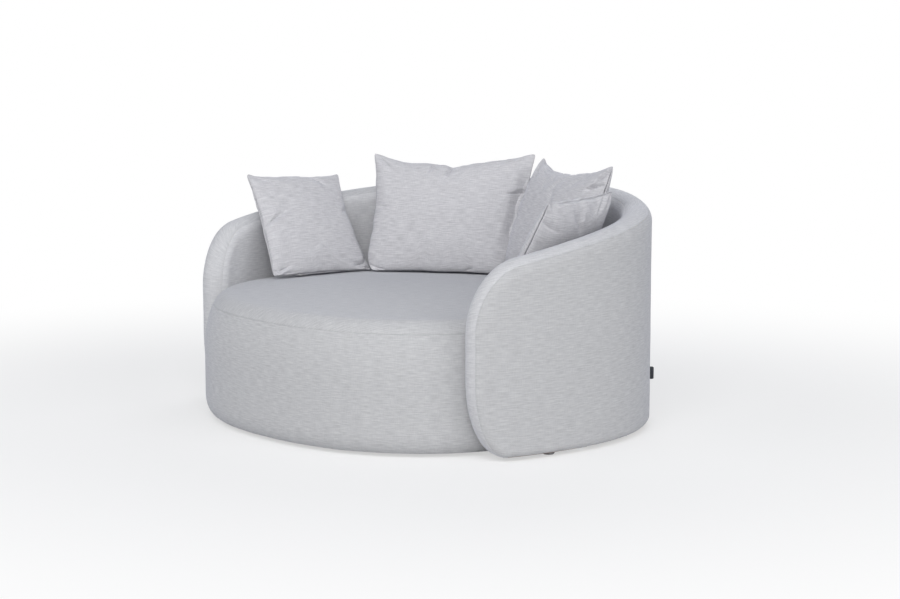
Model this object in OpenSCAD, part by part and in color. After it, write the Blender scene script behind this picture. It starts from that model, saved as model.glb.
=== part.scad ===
// Round loveseat: a padded barrel shell wraps a deep seat that carries four loose cushions.
// Millimetres. +Z is up, -Y is the front, and X = 0 is the middle plane of shell and seat.
// The origin is on the floor, under the centre of the shell and seat's outline.
// Places on the shell are given by s, the distance along its middle line from the centre of
// the back, by z, and by t, the distance outwards from the middle line.

/* [Plan] */
// Half the width of the shell's middle line
plan_half_w = 760; // [740:5:800]
// Depth of the middle line behind its widest point
plan_back_d = 670; // [650:5:710]
// Depth of the middle line in front of its widest point
plan_front_d = 720; // [690:5:760]
// Squareness of the plan behind its widest point, where 2 is an ellipse
back_square = 2.15; // [2:0.05:2.3]
// Squareness of the plan in front of its widest point
front_square = 2.25; // [2.1:0.05:2.4]

/* [Shell] */
// Thickness of the upholstered shell
shell_t = 100; // [90:2:110]
// Length of the shell along its middle line, from the back's centre to an arm's end
arm_reach = 1525; // [1470:5:1560]
// Height of the shell's top at the centre of the back
back_h = 760; // [730:5:790]
// Height of the shell's top at the arms
arm_h = 585; // [565:5:610]
// How late the top falls from back to arm, where 1 is a straight slope
top_fall = 1.85; // [1.5:0.05:2.2]
// Radius along the arm of its upper corner
arm_top_r = 160; // [130:5:190]
// Height of the arm's upper corner curve
arm_top_rise = 195; // [160:5:220]
// Radius along the arm of its lower corner
arm_foot_r = 120; // [100:5:125]
// Height of the arm's lower corner curve
arm_foot_rise = 240; // [200:5:260]
// Radius of the shell's bottom edges
shell_foot_r = 22; // [16:1:26]
// Height of the upholstery above the floor
floor_gap = 10; // [9:1:18]

/* [Padding] */
// Thickness of the woven cover
fabric_t = 1.5; // [1:0.1:2]
// Clearance between layers of cover, foam and board
skin_gap = 0.4; // [0.3:0.05:0.5]
// Clearance between the curved boards and the foam on them
board_gap = 0.8; // [0.7:0.05:0.9]
// Depth of the foam roll over the shell's edge
roll_depth = 33; // [28:1:38]
// Thickness of the curved hardboard
board_t = 4; // [3:0.5:5]

/* [Shell frame] */
// Thickness of the plywood rails
ply_t = 18; // [15:1:21]
// Thickness of the strips that close the frame's top and arm fronts
edge_strip_t = 12; // [9:1:15]
// Width of a post along the shell
post_w = 40; // [30:2:50]
// Clearance of the posts to the outside board, which runs straight between its fixings
post_slack = 2.2; // [2:0.2:4]
// Clearance under the top rail
post_top_gap = 0.6; // [0.4:0.1:0.8]

/* [Seat] */
// Clearance between the seat's side and the shell
seat_gap = 0.6; // [0.5:0.1:1]
// Height at which the seat's side starts to curve in
side_h = 230; // [210:5:250]
// Height of the edge curve
edge_rise = 190; // [170:5:200]
// How far the edge curve comes in
edge_in = 80; // [65:5:95]
// Height of the seam round the seat
seam_h = 380; // [360:2:390]
// Crown of the seat's top
seat_crown = 15; // [8:1:22]
// How far the bottom edge of the seat is rounded inwards
foot_in = 35; // [25:1:37]
// Height of the rounded bottom edge
foot_rise = 65; // [50:5:80]
// Width of the cover turned under the seat
hem_w = 40; // [30:2:50]
// Thickness of the foam round the seat's side
side_foam_t = 35; // [30:1:40]
// Thickness of the bottom board and the ring
seat_ply_t = 15; // [12:1:18]
// Height of the ring's top, where the webbing lies
ring_top = 242; // [220:2:252]
// Width of the ring and of the bottom board's rim
ring_w = 100; // [80:5:120]
// Side of a square seat post
seat_post = 45; // [35:5:55]

/* [Webbing] */
// Width of a webbing strap
web_w = 60; // [50:5:70]
// Thickness of a webbing strap
web_t = 1.6; // [1.2:0.2:2]
// Straps each way
web_count = 8; // [6:1:9]

/* [Cushions] */
// Side of the two small cushions
small_side = 400; // [390:5:405]
// Plumpness of the small cushions
small_plump = 120; // [100:5:125]
// Width of the two large cushions
large_w = 600; // [590:5:605]
// Height of the two large cushions
large_h = 440; // [420:5:450]
// Plumpness of the large cushions
large_plump = 140; // [110:5:145]
// How far a cushion's sides draw in between its corners, as a share of its half width
draw_in = 0.08; // [0.04:0.01:0.1]
// Dip of the small cushions' top edges below their corners
small_dip = 10; // [5:1:20]
// Dip of the middle cushion's top edge
middle_dip = 31; // [20:1:35]
// Dip of the rear cushion's top edge
rear_dip = 40; // [25:1:45]
// How far the large cushions' bottom corners are folded in
corner_tuck = 50; // [30:5:60]
// How far a cushion's bottom edge rises between the corners that it stands on
bottom_rise = 13; // [12:1:16]
// Thickness of a cushion's cover
cushion_cloth = 1.2; // [0.8:0.1:1.6]
// Clearance between a cushion's lowest points and the seat
rest_gap = 1; // [0.5:0.1:1.5]

/* [Zips] */
// Length of a zip as a share of the cushion's width
zip_share = 0.55; // [0.4:0.05:0.6]
// Width and height of the closed chain
zip_w = 3; // [2.5:0.5:4]
// Length of the slider
slider_l = 9; // [7:1:12]

/* [Feet and fasteners] */
// Radius of the glides under the seat
seat_glide_r = 25; // [20:1:30]
// Radius of the glides under the shell
shell_glide_r = 19; // [15:1:22]
// Radius of the screws' shanks
screw_r = 2.5; // [2:0.25:3]
// Clearance round a screw
screw_gap = 0.1; // [0.05:0.05:0.2]
// Length of the screws
screw_l = 14; // [12:1:15]
// Thickness of the plates that join the shell to the seat
plate_t = 3; // [2:0.5:4]
// Width of a joining plate
plate_w = 40; // [30:2:50]

/* [Tab] */
// Height of the bare fabric tab on the shell's outside
tab_h = 42; // [30:2:50]
// How far the tab stands out
tab_out = 16; // [10:1:20]
// Height of the tab's middle above the floor
tab_z = 158; // [110:4:210]

/* [Hidden] */
$fn = 48;

// The plan: two half superellipses that meet at the widest point.
seat_in = shell_t/2 + seat_gap;
plan_y = (plan_front_d - seat_in - plan_back_d - shell_t/2)/2;
function sgn_pow(v, p) = sign(v)*pow(abs(v), p);
function plan_d(a) = a <= 90 ? plan_back_d : plan_front_d;
function plan_n(a) = a <= 90 ? back_square : front_square;
// Point at the angle a from the centre of the back, clockwise seen from above
function plan_at(a) = [
    plan_half_w*sgn_pow(sin(a), 2/plan_n(a)),
    plan_y + plan_d(a)*sgn_pow(cos(a), 2/plan_n(a))];
plan_table = [for (a = 0, run = 0; a <= 180;
    run = run + norm(plan_at(a + 1) - plan_at(a)), a = a + 1) [run, a]];
plan_half = plan_table[180][0];
// The middle line's point and outward direction at the distance s from the back's centre
function middle(s) = let (p = plan_at(lookup(abs(s), plan_table))) [s < 0 ? -p.x : p.x, p.y];
function outward(s) = let (
        a = lookup(abs(s), plan_table), n = plan_n(a), p = plan_at(a),
        gx = pow(abs(p.x)/plan_half_w, n - 1)/plan_half_w*(s < 0 ? -1 : 1),
        gy = pow(abs(p.y - plan_y)/plan_d(a), n - 1)/plan_d(a)*(a <= 90 ? 1 : -1))
    [gx, gy]/norm([gx, gy]);
function place(s, t, z) = let (m = middle(s), o = outward(s)) [m.x + o.x*t, m.y + o.y*t, z];
function heading(s) = let (o = outward(s)) atan2(o.y, o.x);

// A closed solid through rings of points. Every ring has the same even number of points,
// and an end is closed by bands that run from one half of its ring to the other. A four-sided
// field is split along its shorter diagonal, so that layers that lie close split alike.
module loft(rings, endless = false) {
    n = len(rings[0]);
    m = len(rings);
    half = n/2;
    last = (m - 1)*n;
    walls = [for (r = [0:endless ? m - 1 : m - 2], j = [0:n - 1])
        let (r2 = (r + 1)%m, j2 = (j + 1)%n,
            a = r*n + j, b = r*n + j2, c = r2*n + j2, d = r2*n + j)
        each norm(rings[r][j] - rings[r2][j2]) < norm(rings[r][j2] - rings[r2][j])
            ? [[a, b, c], [a, c, d]] : [[a, b, d], [b, c, d]]];
    ends = endless ? [] : [for (j = [0:half - 2])
        let (a = j, b = j + 1, c = n - 2 - j, d = n - 1 - j)
        each [[b, a, d], [b, d, c], [last + a, last + b, last + c], [last + a, last + c, last + d]]];
    tidy_ends = [for (f = ends) if (f[0] != f[1] && f[1] != f[2] && f[0] != f[2]) f];
    polyhedron(points = [for (ring = rings) each ring], faces = concat(walls, tidy_ends));
}
function reversed(list) = [for (i = [len(list) - 1:-1:0]) list[i]];

// The shell's outline runs along the top from the left arm to the right arm, and back along
// the foot. Station i counts along a chain, and 0 and last_i are the arms' ends.
main_steps = 14;
corner_steps = 5;
mid_i = main_steps + corner_steps;
last_i = 2*mid_i;
main_l = arm_reach - arm_top_r;
function side_of(i) = sign(i - mid_i);
function corner_of(i) = max(0, abs(i - mid_i) - main_steps);
function main_s(i) = main_l*min(main_steps, abs(i - mid_i))/main_steps;
function top_angle(i) = 90*corner_of(i)/corner_steps;
function foot_angle(i) = 90*max(0, corner_of(i) - 1)/(corner_steps - 1);
// 1 on the flat foot of the shell, falling to 0 up the lower corner of the arm
function footness(i) = pow(cos(foot_angle(i)), 2);
function top_s(i, inset) = main_s(i) + (arm_top_r - inset)*sin(top_angle(i));
function foot_s(i, inset) = corner_of(i) == 0 ? main_s(i)
    : arm_reach - arm_foot_r + (arm_foot_r - inset)*sin(foot_angle(i));
function top_line(s) = back_h - (back_h - arm_h)*pow(min(s/arm_reach, 1), top_fall);
function top_point(i, inset, t) = let (s = top_s(i, inset))
    place(side_of(i)*s, t,
        top_line(s) - inset - (arm_top_rise - inset)*(1 - cos(top_angle(i))));
function foot_point(i, inset, foot_inset, t) = let (
        mix = inset + (foot_inset - inset)*footness(i), s = foot_s(i, mix))
    place(side_of(i)*s, t, floor_gap + mix + (arm_foot_rise - mix)*(1 - cos(foot_angle(i))));
function outline(inset, foot_inset, t) = concat(
    [for (i = [0:last_i]) top_point(i, inset, t)],
    [for (i = [last_i:-1:0]) foot_point(i, inset, foot_inset, t)]);

// The shell's rounded edge in steps, from its inside face to its outside face. The seams lie
// at steps 2 and 7, the inside pad ends at step 3 and the outside pad starts at step 7.
edge_steps = [-90, -70, -50, -30, -9, 12, 32, 52, 71, 90];
inner_seam = 2;
inner_split = 3;
outer_split = 7;
last_step = len(edge_steps) - 1;
function edge_t(e, k) = (shell_t/2 - e)*sin(edge_steps[k]);
function edge_inset(e, k) = e + (shell_t/2 - e)*(1 - cos(edge_steps[k]));
function foot_inset(e, k) = let (
        r = shell_foot_r - e, over = max(0, abs(edge_t(e, k)) - (shell_t/2 - shell_foot_r)))
    e + r - sqrt(max(0, r*r - over*over));
function edge_ring(e, k) = outline(edge_inset(e, k), foot_inset(e, k), edge_t(e, k));
// One point of the edge on the chain that runs along the top and down both arm fronts
chain_foot = corner_steps - 1;
chain_last = last_i + 2*chain_foot;
function chain_point(c, inset, foot_in, t) =
    c < chain_foot ? foot_point(chain_foot - 1 - c, inset, foot_in, t)
    : c > chain_foot + last_i
        ? foot_point(last_i - (c - chain_foot - last_i - 1), inset, foot_in, t)
    : top_point(c - chain_foot, inset, t);
function chain_edge(c, e, k) = chain_point(c, edge_inset(e, k), foot_inset(e, k), edge_t(e, k));

pad_skin = fabric_t + skin_gap;
inner_plane = edge_t(pad_skin, inner_split);
outer_plane = edge_t(pad_skin, outer_split);
roll_back = pad_skin + roll_depth;
frame_inset = roll_back + board_gap;
frame_foot = pad_skin + skin_gap;
frame_z = floor_gap + frame_foot;
inner_board_t0 = inner_plane + board_gap;
inner_board_t1 = inner_board_t0 + board_t;
outer_board_t1 = outer_plane - board_gap;
outer_board_t0 = outer_board_t1 - board_t;
rail_t0 = inner_board_t1 + skin_gap;
rail_t1 = outer_board_t0 - skin_gap;
rail_s = arm_reach - arm_foot_r;

module shell_board(t0, t1) {
    loft([outline(frame_inset, frame_foot, t1), outline(frame_inset, frame_foot, t0)]);
}
// A flat strip of the shell's plan between two distances from the middle line
module shell_plan(t0, t1, reach) {
    half = [for (i = [0:main_steps]) main_l*i/main_steps];
    all = concat(reversed([for (s = half) -s]), [for (i = [1:main_steps]) half[i]]);
    ends = concat([-reach], all, [reach]);
    polygon(concat(
        [for (s = ends) let (p = place(s, t1, 0)) [p.x, p.y]],
        [for (s = reversed(ends)) let (p = place(s, t0, 0)) [p.x, p.y]]));
}
module edge_strip(c0, c1) {
    loft([for (c = [c0:c1]) [
        chain_point(c, frame_inset, frame_foot, rail_t0),
        chain_point(c, frame_inset, frame_foot, rail_t1),
        chain_point(c, frame_inset + edge_strip_t, frame_foot, rail_t1),
        chain_point(c, frame_inset + edge_strip_t, frame_foot, rail_t0)]]);
}

plate_places = [-1120, -600, 0, 600, 1120];
shell_glide_places = [-1240, -860, -300, 300, 860, 1240];
seat_glide_xy = [[-430, -300], [430, -300], [-430, 260], [430, 260]];
plate_out = 6;
dust_gap = 0.5;
dust_in = foot_in + hem_w + dust_gap;
screw_pitch = 18;
plate_in = seat_in + dust_in + 3*screw_pitch;
board_in = side_foam_t + fabric_t + 2*skin_gap + board_t + skin_gap;
function screw_spots() = [for (s = plate_places) each [
    place(s, 0, 0), for (i = [1:2]) place(s, i*screw_pitch - plate_in, 0)]];
module screw_holes(z, h) {
    for (p = screw_spots()) translate([p.x, p.y, z - 1]) cylinder(r = screw_r + screw_gap, h = h + 2);
    for (s = shell_glide_places)
        translate([place(s, 0, 0).x, place(s, 0, 0).y, z - 1])
            cylinder(r = screw_r + screw_gap, h = h + 2);
    for (p = seat_glide_xy) translate([p.x, p.y, z - 1]) cylinder(r = screw_r + screw_gap, h = h + 2);
}

module shell_bottom_rail() {
    color("burlywood") difference() {
        translate([0, 0, frame_z]) linear_extrude(ply_t) shell_plan(rail_t0, rail_t1, rail_s);
        screw_holes(frame_z, ply_t);
    }
}
module shell_top_rail() {
    color("burlywood") edge_strip(chain_foot + corner_steps, chain_foot + last_i - corner_steps);
}
// The strips end two stations above the foot, where the frame has thinned away
module arm_front_strips() {
    color("burlywood") {
        edge_strip(1, chain_foot + corner_steps);
        edge_strip(chain_last - chain_foot - corner_steps, chain_last - 1);
    }
}
module shell_posts() {
    color("burlywood") for (i = [-main_steps + 1:2:main_steps - 1]) {
        s = main_l*i/main_steps;
        top = top_line(abs(s) + post_w/2) - frame_inset - edge_strip_t - post_top_gap;
        foot = frame_z + ply_t;
        translate(place(s, rail_t0, foot)) rotate([0, 0, heading(s)])
            translate([0, -post_w/2, 0]) cube([rail_t1 - rail_t0 - post_slack, post_w, top - foot]);
    }
}
module shell_inner_board() {
    color("peru") shell_board(inner_board_t0, inner_board_t1);
}
module shell_outer_board() {
    color("peru") shell_board(outer_board_t0, outer_board_t1);
}
module shell_inner_pad() {
    color("khaki") loft([for (k = [inner_split:-1:0]) edge_ring(pad_skin, k)]);
}
module shell_outer_pad() {
    color("khaki") loft([for (k = [last_step:-1:outer_split]) edge_ring(pad_skin, k)]);
}
module shell_edge_roll() {
    back_t = (inner_plane + outer_plane)/2;
    color("khaki") loft([for (c = [1:chain_last - 1]) concat(
        [for (k = [inner_split:outer_split])
            chain_point(c, edge_inset(pad_skin, k), foot_inset(pad_skin, k),
                min(max(edge_t(pad_skin, k), inner_plane + board_gap), outer_plane - board_gap))],
        [for (t = [outer_plane - board_gap, back_t, inner_plane + board_gap])
            chain_point(c, roll_back, pad_skin, t)])]);
}
module shell_inner_cover() {
    color("lightgray") loft(concat(
        [for (k = [0:inner_seam]) edge_ring(fabric_t, k)],
        [for (k = [inner_seam:-1:0]) edge_ring(0, k)]));
}
module shell_outer_cover() {
    color("lightgray") loft(concat(
        [for (k = [last_step:-1:outer_split]) edge_ring(0, k)],
        [for (k = [outer_split:last_step]) edge_ring(fabric_t, k)]));
}
module shell_edge_band() {
    color("gainsboro") loft([for (c = [0:chain_last]) concat(
        [for (k = [inner_seam:outer_split]) chain_edge(c, 0, k)],
        [for (k = [outer_split:-1:inner_seam]) chain_edge(c, fabric_t, k)])]);
}
cloth_t = 1;
module shell_bottom_cloth() {
    half = shell_t/2 - shell_foot_r;
    color("dimgray") difference() {
        translate([0, 0, floor_gap + fabric_t - cloth_t])
            linear_extrude(cloth_t) shell_plan(-half, half, rail_s);
        screw_holes(floor_gap, fabric_t);
    }
}
// A folded loop of fabric that is sewn in at a station of the outside board
tab_station = 6;
module fabric_tab() {
    s = main_l*tab_station/main_steps;
    leaf = 1.2;
    color("#303236") translate(place(s, shell_t/2, tab_z - tab_h/2)) rotate([0, 0, heading(s)])
        linear_extrude(tab_h) difference() {
            union() {
                translate([0, -leaf*1.5]) square([tab_out - leaf*1.5, leaf*3]);
                translate([tab_out - leaf*1.5, 0]) circle(r = leaf*1.5);
            }
            translate([leaf, -leaf/2]) square([tab_out - leaf*2.5, leaf]);
            translate([tab_out - leaf*1.5, 0]) circle(r = leaf/2);
        }
}

// The seat's stations follow the shell's, then go on round the front.
front_steps = 8;
arm_face_s = arm_reach - shell_t/2;
seat_half_s = concat(
    [for (i = [0:main_steps]) main_l*i/main_steps],
    [for (i = [1:corner_steps]) main_l + (arm_top_r - shell_t/2)*sin(90*i/corner_steps)],
    [for (i = [1:front_steps]) arm_face_s + (plan_half - arm_face_s)*i/front_steps]);
seat_half_n = len(seat_half_s) - 1;
seat_s = concat(seat_half_s, [for (i = [seat_half_n - 1:-1:1]) -seat_half_s[i]]);
function seat_ring(inset, z) = [for (s = seat_s) place(s, -seat_in - inset, z)];
// The seat's surface at the depth e below its cover: the rounded foot, the edge and the crown
function foot_ring(e, a) = let (out = [cos(a)/foot_in, sin(a)/foot_rise])
    seat_ring(foot_in*(1 - cos(a)) + e*out.x/norm(out),
        floor_gap + foot_rise*(1 - sin(a)) + e*out.y/norm(out));
function rim_ring(e, a) = let (out = [cos(a)/edge_in, sin(a)/edge_rise])
    seat_ring(edge_in*(1 - cos(a)) + e*out.x/norm(out),
        side_h + edge_rise*sin(a) - e*out.y/norm(out));
function crown_ring(e, share) = [for (p = rim_ring(e, 90)) [
    p.x*share, plan_y + (p.y - plan_y)*share, p.z + seat_crown*(1 - share*share)]];
seam_angle = asin((seam_h - side_h)/edge_rise);
foot_angles = [90, 60, 30, 0];
low_rim = [0, seam_angle*0.35, seam_angle*0.68, seam_angle];
high_rim = [seam_angle, seam_angle + (90 - seam_angle)*0.33, seam_angle + (90 - seam_angle)*0.66, 90];
crown_shares = [0.8, 0.55, 0.25];
function top_rings(e) = concat([for (a = high_rim) rim_ring(e, a)],
    [for (c = crown_shares) crown_ring(e, c)]);
function border_rings(e) = concat([seat_ring(foot_in + hem_w, floor_gap + e)],
    [for (a = foot_angles) foot_ring(e, a)], [for (a = low_rim) rim_ring(e, a)]);
module seat_plan(inset) {
    polygon([for (p = seat_ring(inset, 0)) [p.x, p.y]]);
}
seat_board_z = floor_gap + fabric_t;
foam_z = ring_top + 2*web_t + skin_gap;

module seat_bottom_board() {
    color("burlywood") difference() {
        translate([0, 0, seat_board_z]) linear_extrude(seat_ply_t) {
            difference() {
                seat_plan(board_in);
                seat_plan(board_in + ring_w);
            }
            intersection() {
                seat_plan(board_in + ring_w/2);
                for (y = [seat_glide_xy[0].y, seat_glide_xy[2].y])
                    translate([-plan_half_w, y - ring_w/2]) square([2*plan_half_w, ring_w]);
            }
        }
        screw_holes(seat_board_z, seat_ply_t);
    }
}
module seat_top_ring() {
    color("burlywood") translate([0, 0, ring_top - seat_ply_t]) linear_extrude(seat_ply_t)
        difference() {
            seat_plan(board_in);
            seat_plan(board_in + ring_w);
        }
}
seat_post_n = 10;
module seat_posts() {
    foot = seat_board_z + seat_ply_t;
    color("burlywood") for (i = [0:seat_post_n - 1]) {
        s = plan_half*(2*(i + 0.5)/seat_post_n - 1);
        translate(place(s, -seat_in - board_in - ring_w/2, foot)) rotate([0, 0, heading(s)])
            translate([-seat_post/2, -seat_post/2, 0])
                cube([seat_post, seat_post, ring_top - seat_ply_t - foot]);
    }
}
module seat_side_board() {
    out = board_in - board_t - skin_gap;
    color("peru") loft([
        seat_ring(out, seat_board_z), seat_ring(out, ring_top),
        seat_ring(out + board_t, ring_top), seat_ring(out + board_t, seat_board_z)], true);
}
// Straps lie flat on the ring, and reach past its inner edge to two thirds of its width
strap_hold = board_in + ring_w/3;
function half_span(y) = let (
        d = (y > plan_y ? plan_back_d : plan_front_d) - seat_in - strap_hold,
        n = y > plan_y ? back_square : front_square)
    (plan_half_w - seat_in - strap_hold)*pow(1 - pow(abs(y - plan_y)/d, n), 1/n);
function deep_ends(x) = let (part = abs(x)/(plan_half_w - seat_in - strap_hold)) [
    plan_y - (plan_front_d - seat_in - strap_hold)*pow(1 - pow(part, front_square), 1/front_square),
    plan_y + (plan_back_d - seat_in - strap_hold)*pow(1 - pow(part, back_square), 1/back_square)];
module webbing_across() {
    span = plan_back_d + plan_front_d - 2*seat_in - 2*board_in - 2*ring_w;
    y0 = plan_y - plan_front_d + seat_in + board_in + ring_w;
    color("saddlebrown") for (i = [0:web_count - 1]) {
        y = y0 + span*(i + 0.5)/web_count;
        far = y > plan_y ? y + web_w/2 : y - web_w/2;
        translate([-half_span(far), y - web_w/2, ring_top])
            cube([2*half_span(far), web_w, web_t]);
    }
}
module webbing_deep() {
    span = 2*(plan_half_w - seat_in - board_in - ring_w);
    color("saddlebrown") for (i = [0:web_count - 1]) {
        x = span*((i + 0.5)/web_count - 0.5);
        ends = deep_ends(abs(x) + web_w/2);
        translate([x - web_w/2, ends[0], ring_top + web_t])
            cube([web_w, ends[1] - ends[0], web_t]);
    }
}
module seat_foam() {
    color("khaki") loft(concat(
        [seat_ring(pad_skin + rim_depth(foam_z), foam_z)],
        [for (a = low_rim) if (side_h + edge_rise*sin(a) > foam_z + 5) rim_ring(pad_skin, a)],
        [for (i = [1:len(high_rim) - 1]) rim_ring(pad_skin, high_rim[i])],
        [for (c = crown_shares) crown_ring(pad_skin, c)]));
}
// How far the first step of the edge curve has come in at the height z
function rim_depth(z) = max(0, z - side_h)*(1 - cos(low_rim[1]))*edge_in/edge_rise/sin(low_rim[1]);
module seat_side_foam() {
    back = side_foam_t + fabric_t + skin_gap;
    color("khaki") loft([
        for (i = [1:len(foot_angles) - 1]) foot_ring(pad_skin, foot_angles[i]),
        seat_ring(pad_skin, side_h), seat_ring(pad_skin + rim_depth(ring_top), ring_top),
        seat_ring(back, ring_top), seat_ring(back, side_h),
        seat_ring(back, floor_gap + foot_rise),
        seat_ring(back, foot_ring(pad_skin, foot_angles[1])[0].z)], true);
}
module seat_top_cover() {
    color("lightgray") loft(concat(reversed(top_rings(fabric_t)), top_rings(0)));
}
module seat_border() {
    color("lightgray") loft(concat(border_rings(0), reversed(border_rings(fabric_t))), true);
}
module seat_dust_cover() {
    color("dimgray") difference() {
        translate([0, 0, seat_board_z - cloth_t]) linear_extrude(cloth_t) seat_plan(dust_in);
        screw_holes(seat_board_z - cloth_t, cloth_t);
    }
}

// A glide is a low plastic cup with a countersunk screw up its middle.
head_h = 4;
cup_floor = 5;
module glide(r, h) {
    difference() {
        union() {
            cylinder(r1 = r - 3, r2 = r, h = 3);
            translate([0, 0, 3]) cylinder(r = r, h = h - 3);
        }
        translate([0, 0, -1]) cylinder(r = 2*screw_r + 1, h = h - cup_floor + 1);
        translate([0, 0, -1]) cylinder(r = screw_r + screw_gap, h = h + 2);
    }
}
module screw(l) {
    translate([0, 0, -head_h/2]) cylinder(r = 2*screw_r, h = head_h/2);
    cylinder(r = screw_r, h = l);
}
seat_glide_h = seat_board_z - cloth_t;
shell_glide_h = floor_gap + fabric_t - cloth_t;
module seat_glides() {
    color("#202020") for (p = seat_glide_xy) translate([p.x, p.y, 0]) glide(seat_glide_r, seat_glide_h);
}
module shell_glides() {
    color("#202020") for (s = shell_glide_places) translate(place(s, 0, 0))
        glide(shell_glide_r, shell_glide_h);
}
module glide_screws() {
    color("silver") {
        for (p = seat_glide_xy) translate([p.x, p.y, seat_glide_h - cup_floor]) screw(screw_l);
        for (s = shell_glide_places) translate(place(s, 0, shell_glide_h - cup_floor)) screw(screw_l);
    }
}
// Plates under the upholstery join the shell's bottom rail to the seat's bottom board.
module joining_plates() {
    color("silver") difference() {
        for (s = plate_places) translate(place(s, 0, floor_gap - plate_t))
            rotate([0, 0, heading(s)]) translate([-plate_in, -plate_w/2, 0])
                cube([plate_in + shell_t/2 - shell_foot_r - plate_out, plate_w, plate_t]);
        screw_holes(floor_gap - plate_t, plate_t);
    }
}
module plate_screws() {
    color("silver") for (p = screw_spots()) translate([p.x, p.y, floor_gap - plate_t])
        screw(screw_l);
}

// A cushion: width, height, plumpness, the middle of its bottom edge on the seat, the way it
// faces, how far it leans back, the dip of its top edge and the tuck of its bottom corners.
// 0 faces the front, and + turns to the sofa's +X side.
side_room = plan_half_w - shell_t/2;
back_room = plan_back_d - shell_t/2;
left_in = 195;
left_ahead = 1;
left_cushion = [small_side, small_side, small_plump,
    [left_in - side_room, plan_y - left_ahead], 87.3, 30.7, small_dip, 0];
middle_in = 448;
middle_ahead = 272;
middle_cushion = [large_w, large_h, large_plump,
    [middle_in - side_room, plan_y + back_room - middle_ahead], 37, 18.5, middle_dip, corner_tuck];
rear_in = 499;
rear_ahead = 264;
rear_cushion = [large_w, large_h, large_plump,
    [side_room - rear_in, plan_y + back_room - rear_ahead], -21, 19.5, rear_dip, corner_tuck];
right_in = 219;
right_behind = 55;
right_cushion = [small_side, small_side, small_plump,
    [side_room - right_in, plan_y + right_behind], -73, 28.5, small_dip, 0];

seat_span = [plan_half_w - seat_in - edge_in, plan_back_d - seat_in - edge_in,
    plan_front_d - seat_in - edge_in];
function seat_top(p) = let (
        n = p.y > plan_y ? back_square : front_square,
        d = p.y > plan_y ? seat_span[1] : seat_span[2],
        share = pow(pow(abs(p.x)/seat_span[0], n) + pow(abs(p.y - plan_y)/d, n), 1/n))
    side_h + edge_rise + seat_crown*(1 - pow(min(share, 1), 2));
// A cushion stands on its two bottom corners
module stand(c) {
    foot = c[0] - 2*c[7];
    along = [cos(c[4]), sin(c[4])]*foot/2;
    left = seat_top(c[3] - along);
    right = seat_top(c[3] + along);
    translate([c[3].x, c[3].y, (left + right)/2 + rest_gap]) rotate([0, 0, c[4]])
        rotate([90 - c[5], 0, 0]) rotate([0, 0, atan((right - left)/foot)]) children();
}
cushion_steps = 5;
grid = [for (i = [-cushion_steps:cushion_steps]) sin(90*i/cushion_steps)];
edge_half = 0.15;
function puff(u, v) = sqrt(max(0, 1 - u*u))*sqrt(max(0, 1 - v*v));
function bottom_edge(u) = bottom_rise*(1 - pow(abs(u), 4));
function tuck(c, u, v) = v < 0 ? c[7]*sign(u)*pow(u, 6)*pow(v, 8) : 0;
// A point of a cushion's face, in its own plane: x to its right, y up, z towards its front
function face_point(c, u, v, z) = [
    c[0]/2*u*(1 - draw_in*(1 - v*v)) - tuck(c, u, v),
    c[1]/2*(1 + v) + (v > 0 ? -v*c[6]*(1 - u*u) : -v*v*v*bottom_edge(u)),
    z];
function cover_z(c, u, v) = edge_half + cushion_cloth + (c[2]/2 - edge_half - cushion_cloth)*puff(u, v);
module cushion_panel(c, side) {
    sections = [for (u = grid) concat(
        [for (v = grid) face_point(c, u, v, side*cover_z(c, u, v))],
        [for (v = reversed(grid)) face_point(c, u, v, side*(cover_z(c, u, v) - cushion_cloth))])];
    stand(c) loft(side > 0 ? sections : reversed(sections));
}
fill_share = 0.955;
edge_fill = 0.5;
function fill_z(c, u, v) = max(edge_fill, cover_z(c, u, v) - cushion_cloth - skin_gap);
function fill_point(c, u, v, side) = let (p = face_point(c, u, v, side*fill_z(c, u, v)))
    [p.x*fill_share, c[1]/2 + (p.y - c[1]/2)*fill_share, p.z];
module cushion_filling(c) {
    stand(c) loft([for (u = grid) concat(
        [for (v = grid) fill_point(c, u, v, 1)],
        [for (v = reversed(grid)) fill_point(c, u, v, -1)])]);
}
// The closed zip runs straight under the raised middle of the bottom edge.
zip_top = bottom_edge(zip_share) - skin_gap;
slider_wall = 1.2;
module cushion_zip(c) {
    stand(c) translate([-c[0]*zip_share/2, zip_top - zip_w, -zip_w/2])
        cube([c[0]*zip_share, zip_w, zip_w]);
}
slider_start = 8;
module cushion_slider(c) {
    inner = zip_w + 2*skin_gap;
    outer = inner + 2*slider_wall;
    stand(c) translate([-c[0]*zip_share/2 + slider_start, zip_top - zip_w - skin_gap - slider_wall, 0])
        difference() {
            union() {
                translate([0, 0, -outer/2]) cube([slider_l, zip_w + slider_wall, outer]);
                translate([slider_l, 0, -zip_w/2]) cube([2*slider_l, slider_wall - skin_gap, zip_w]);
            }
            translate([-1, slider_wall, -inner/2]) cube([slider_l + 2, zip_w + slider_wall, inner]);
        }
}

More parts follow.
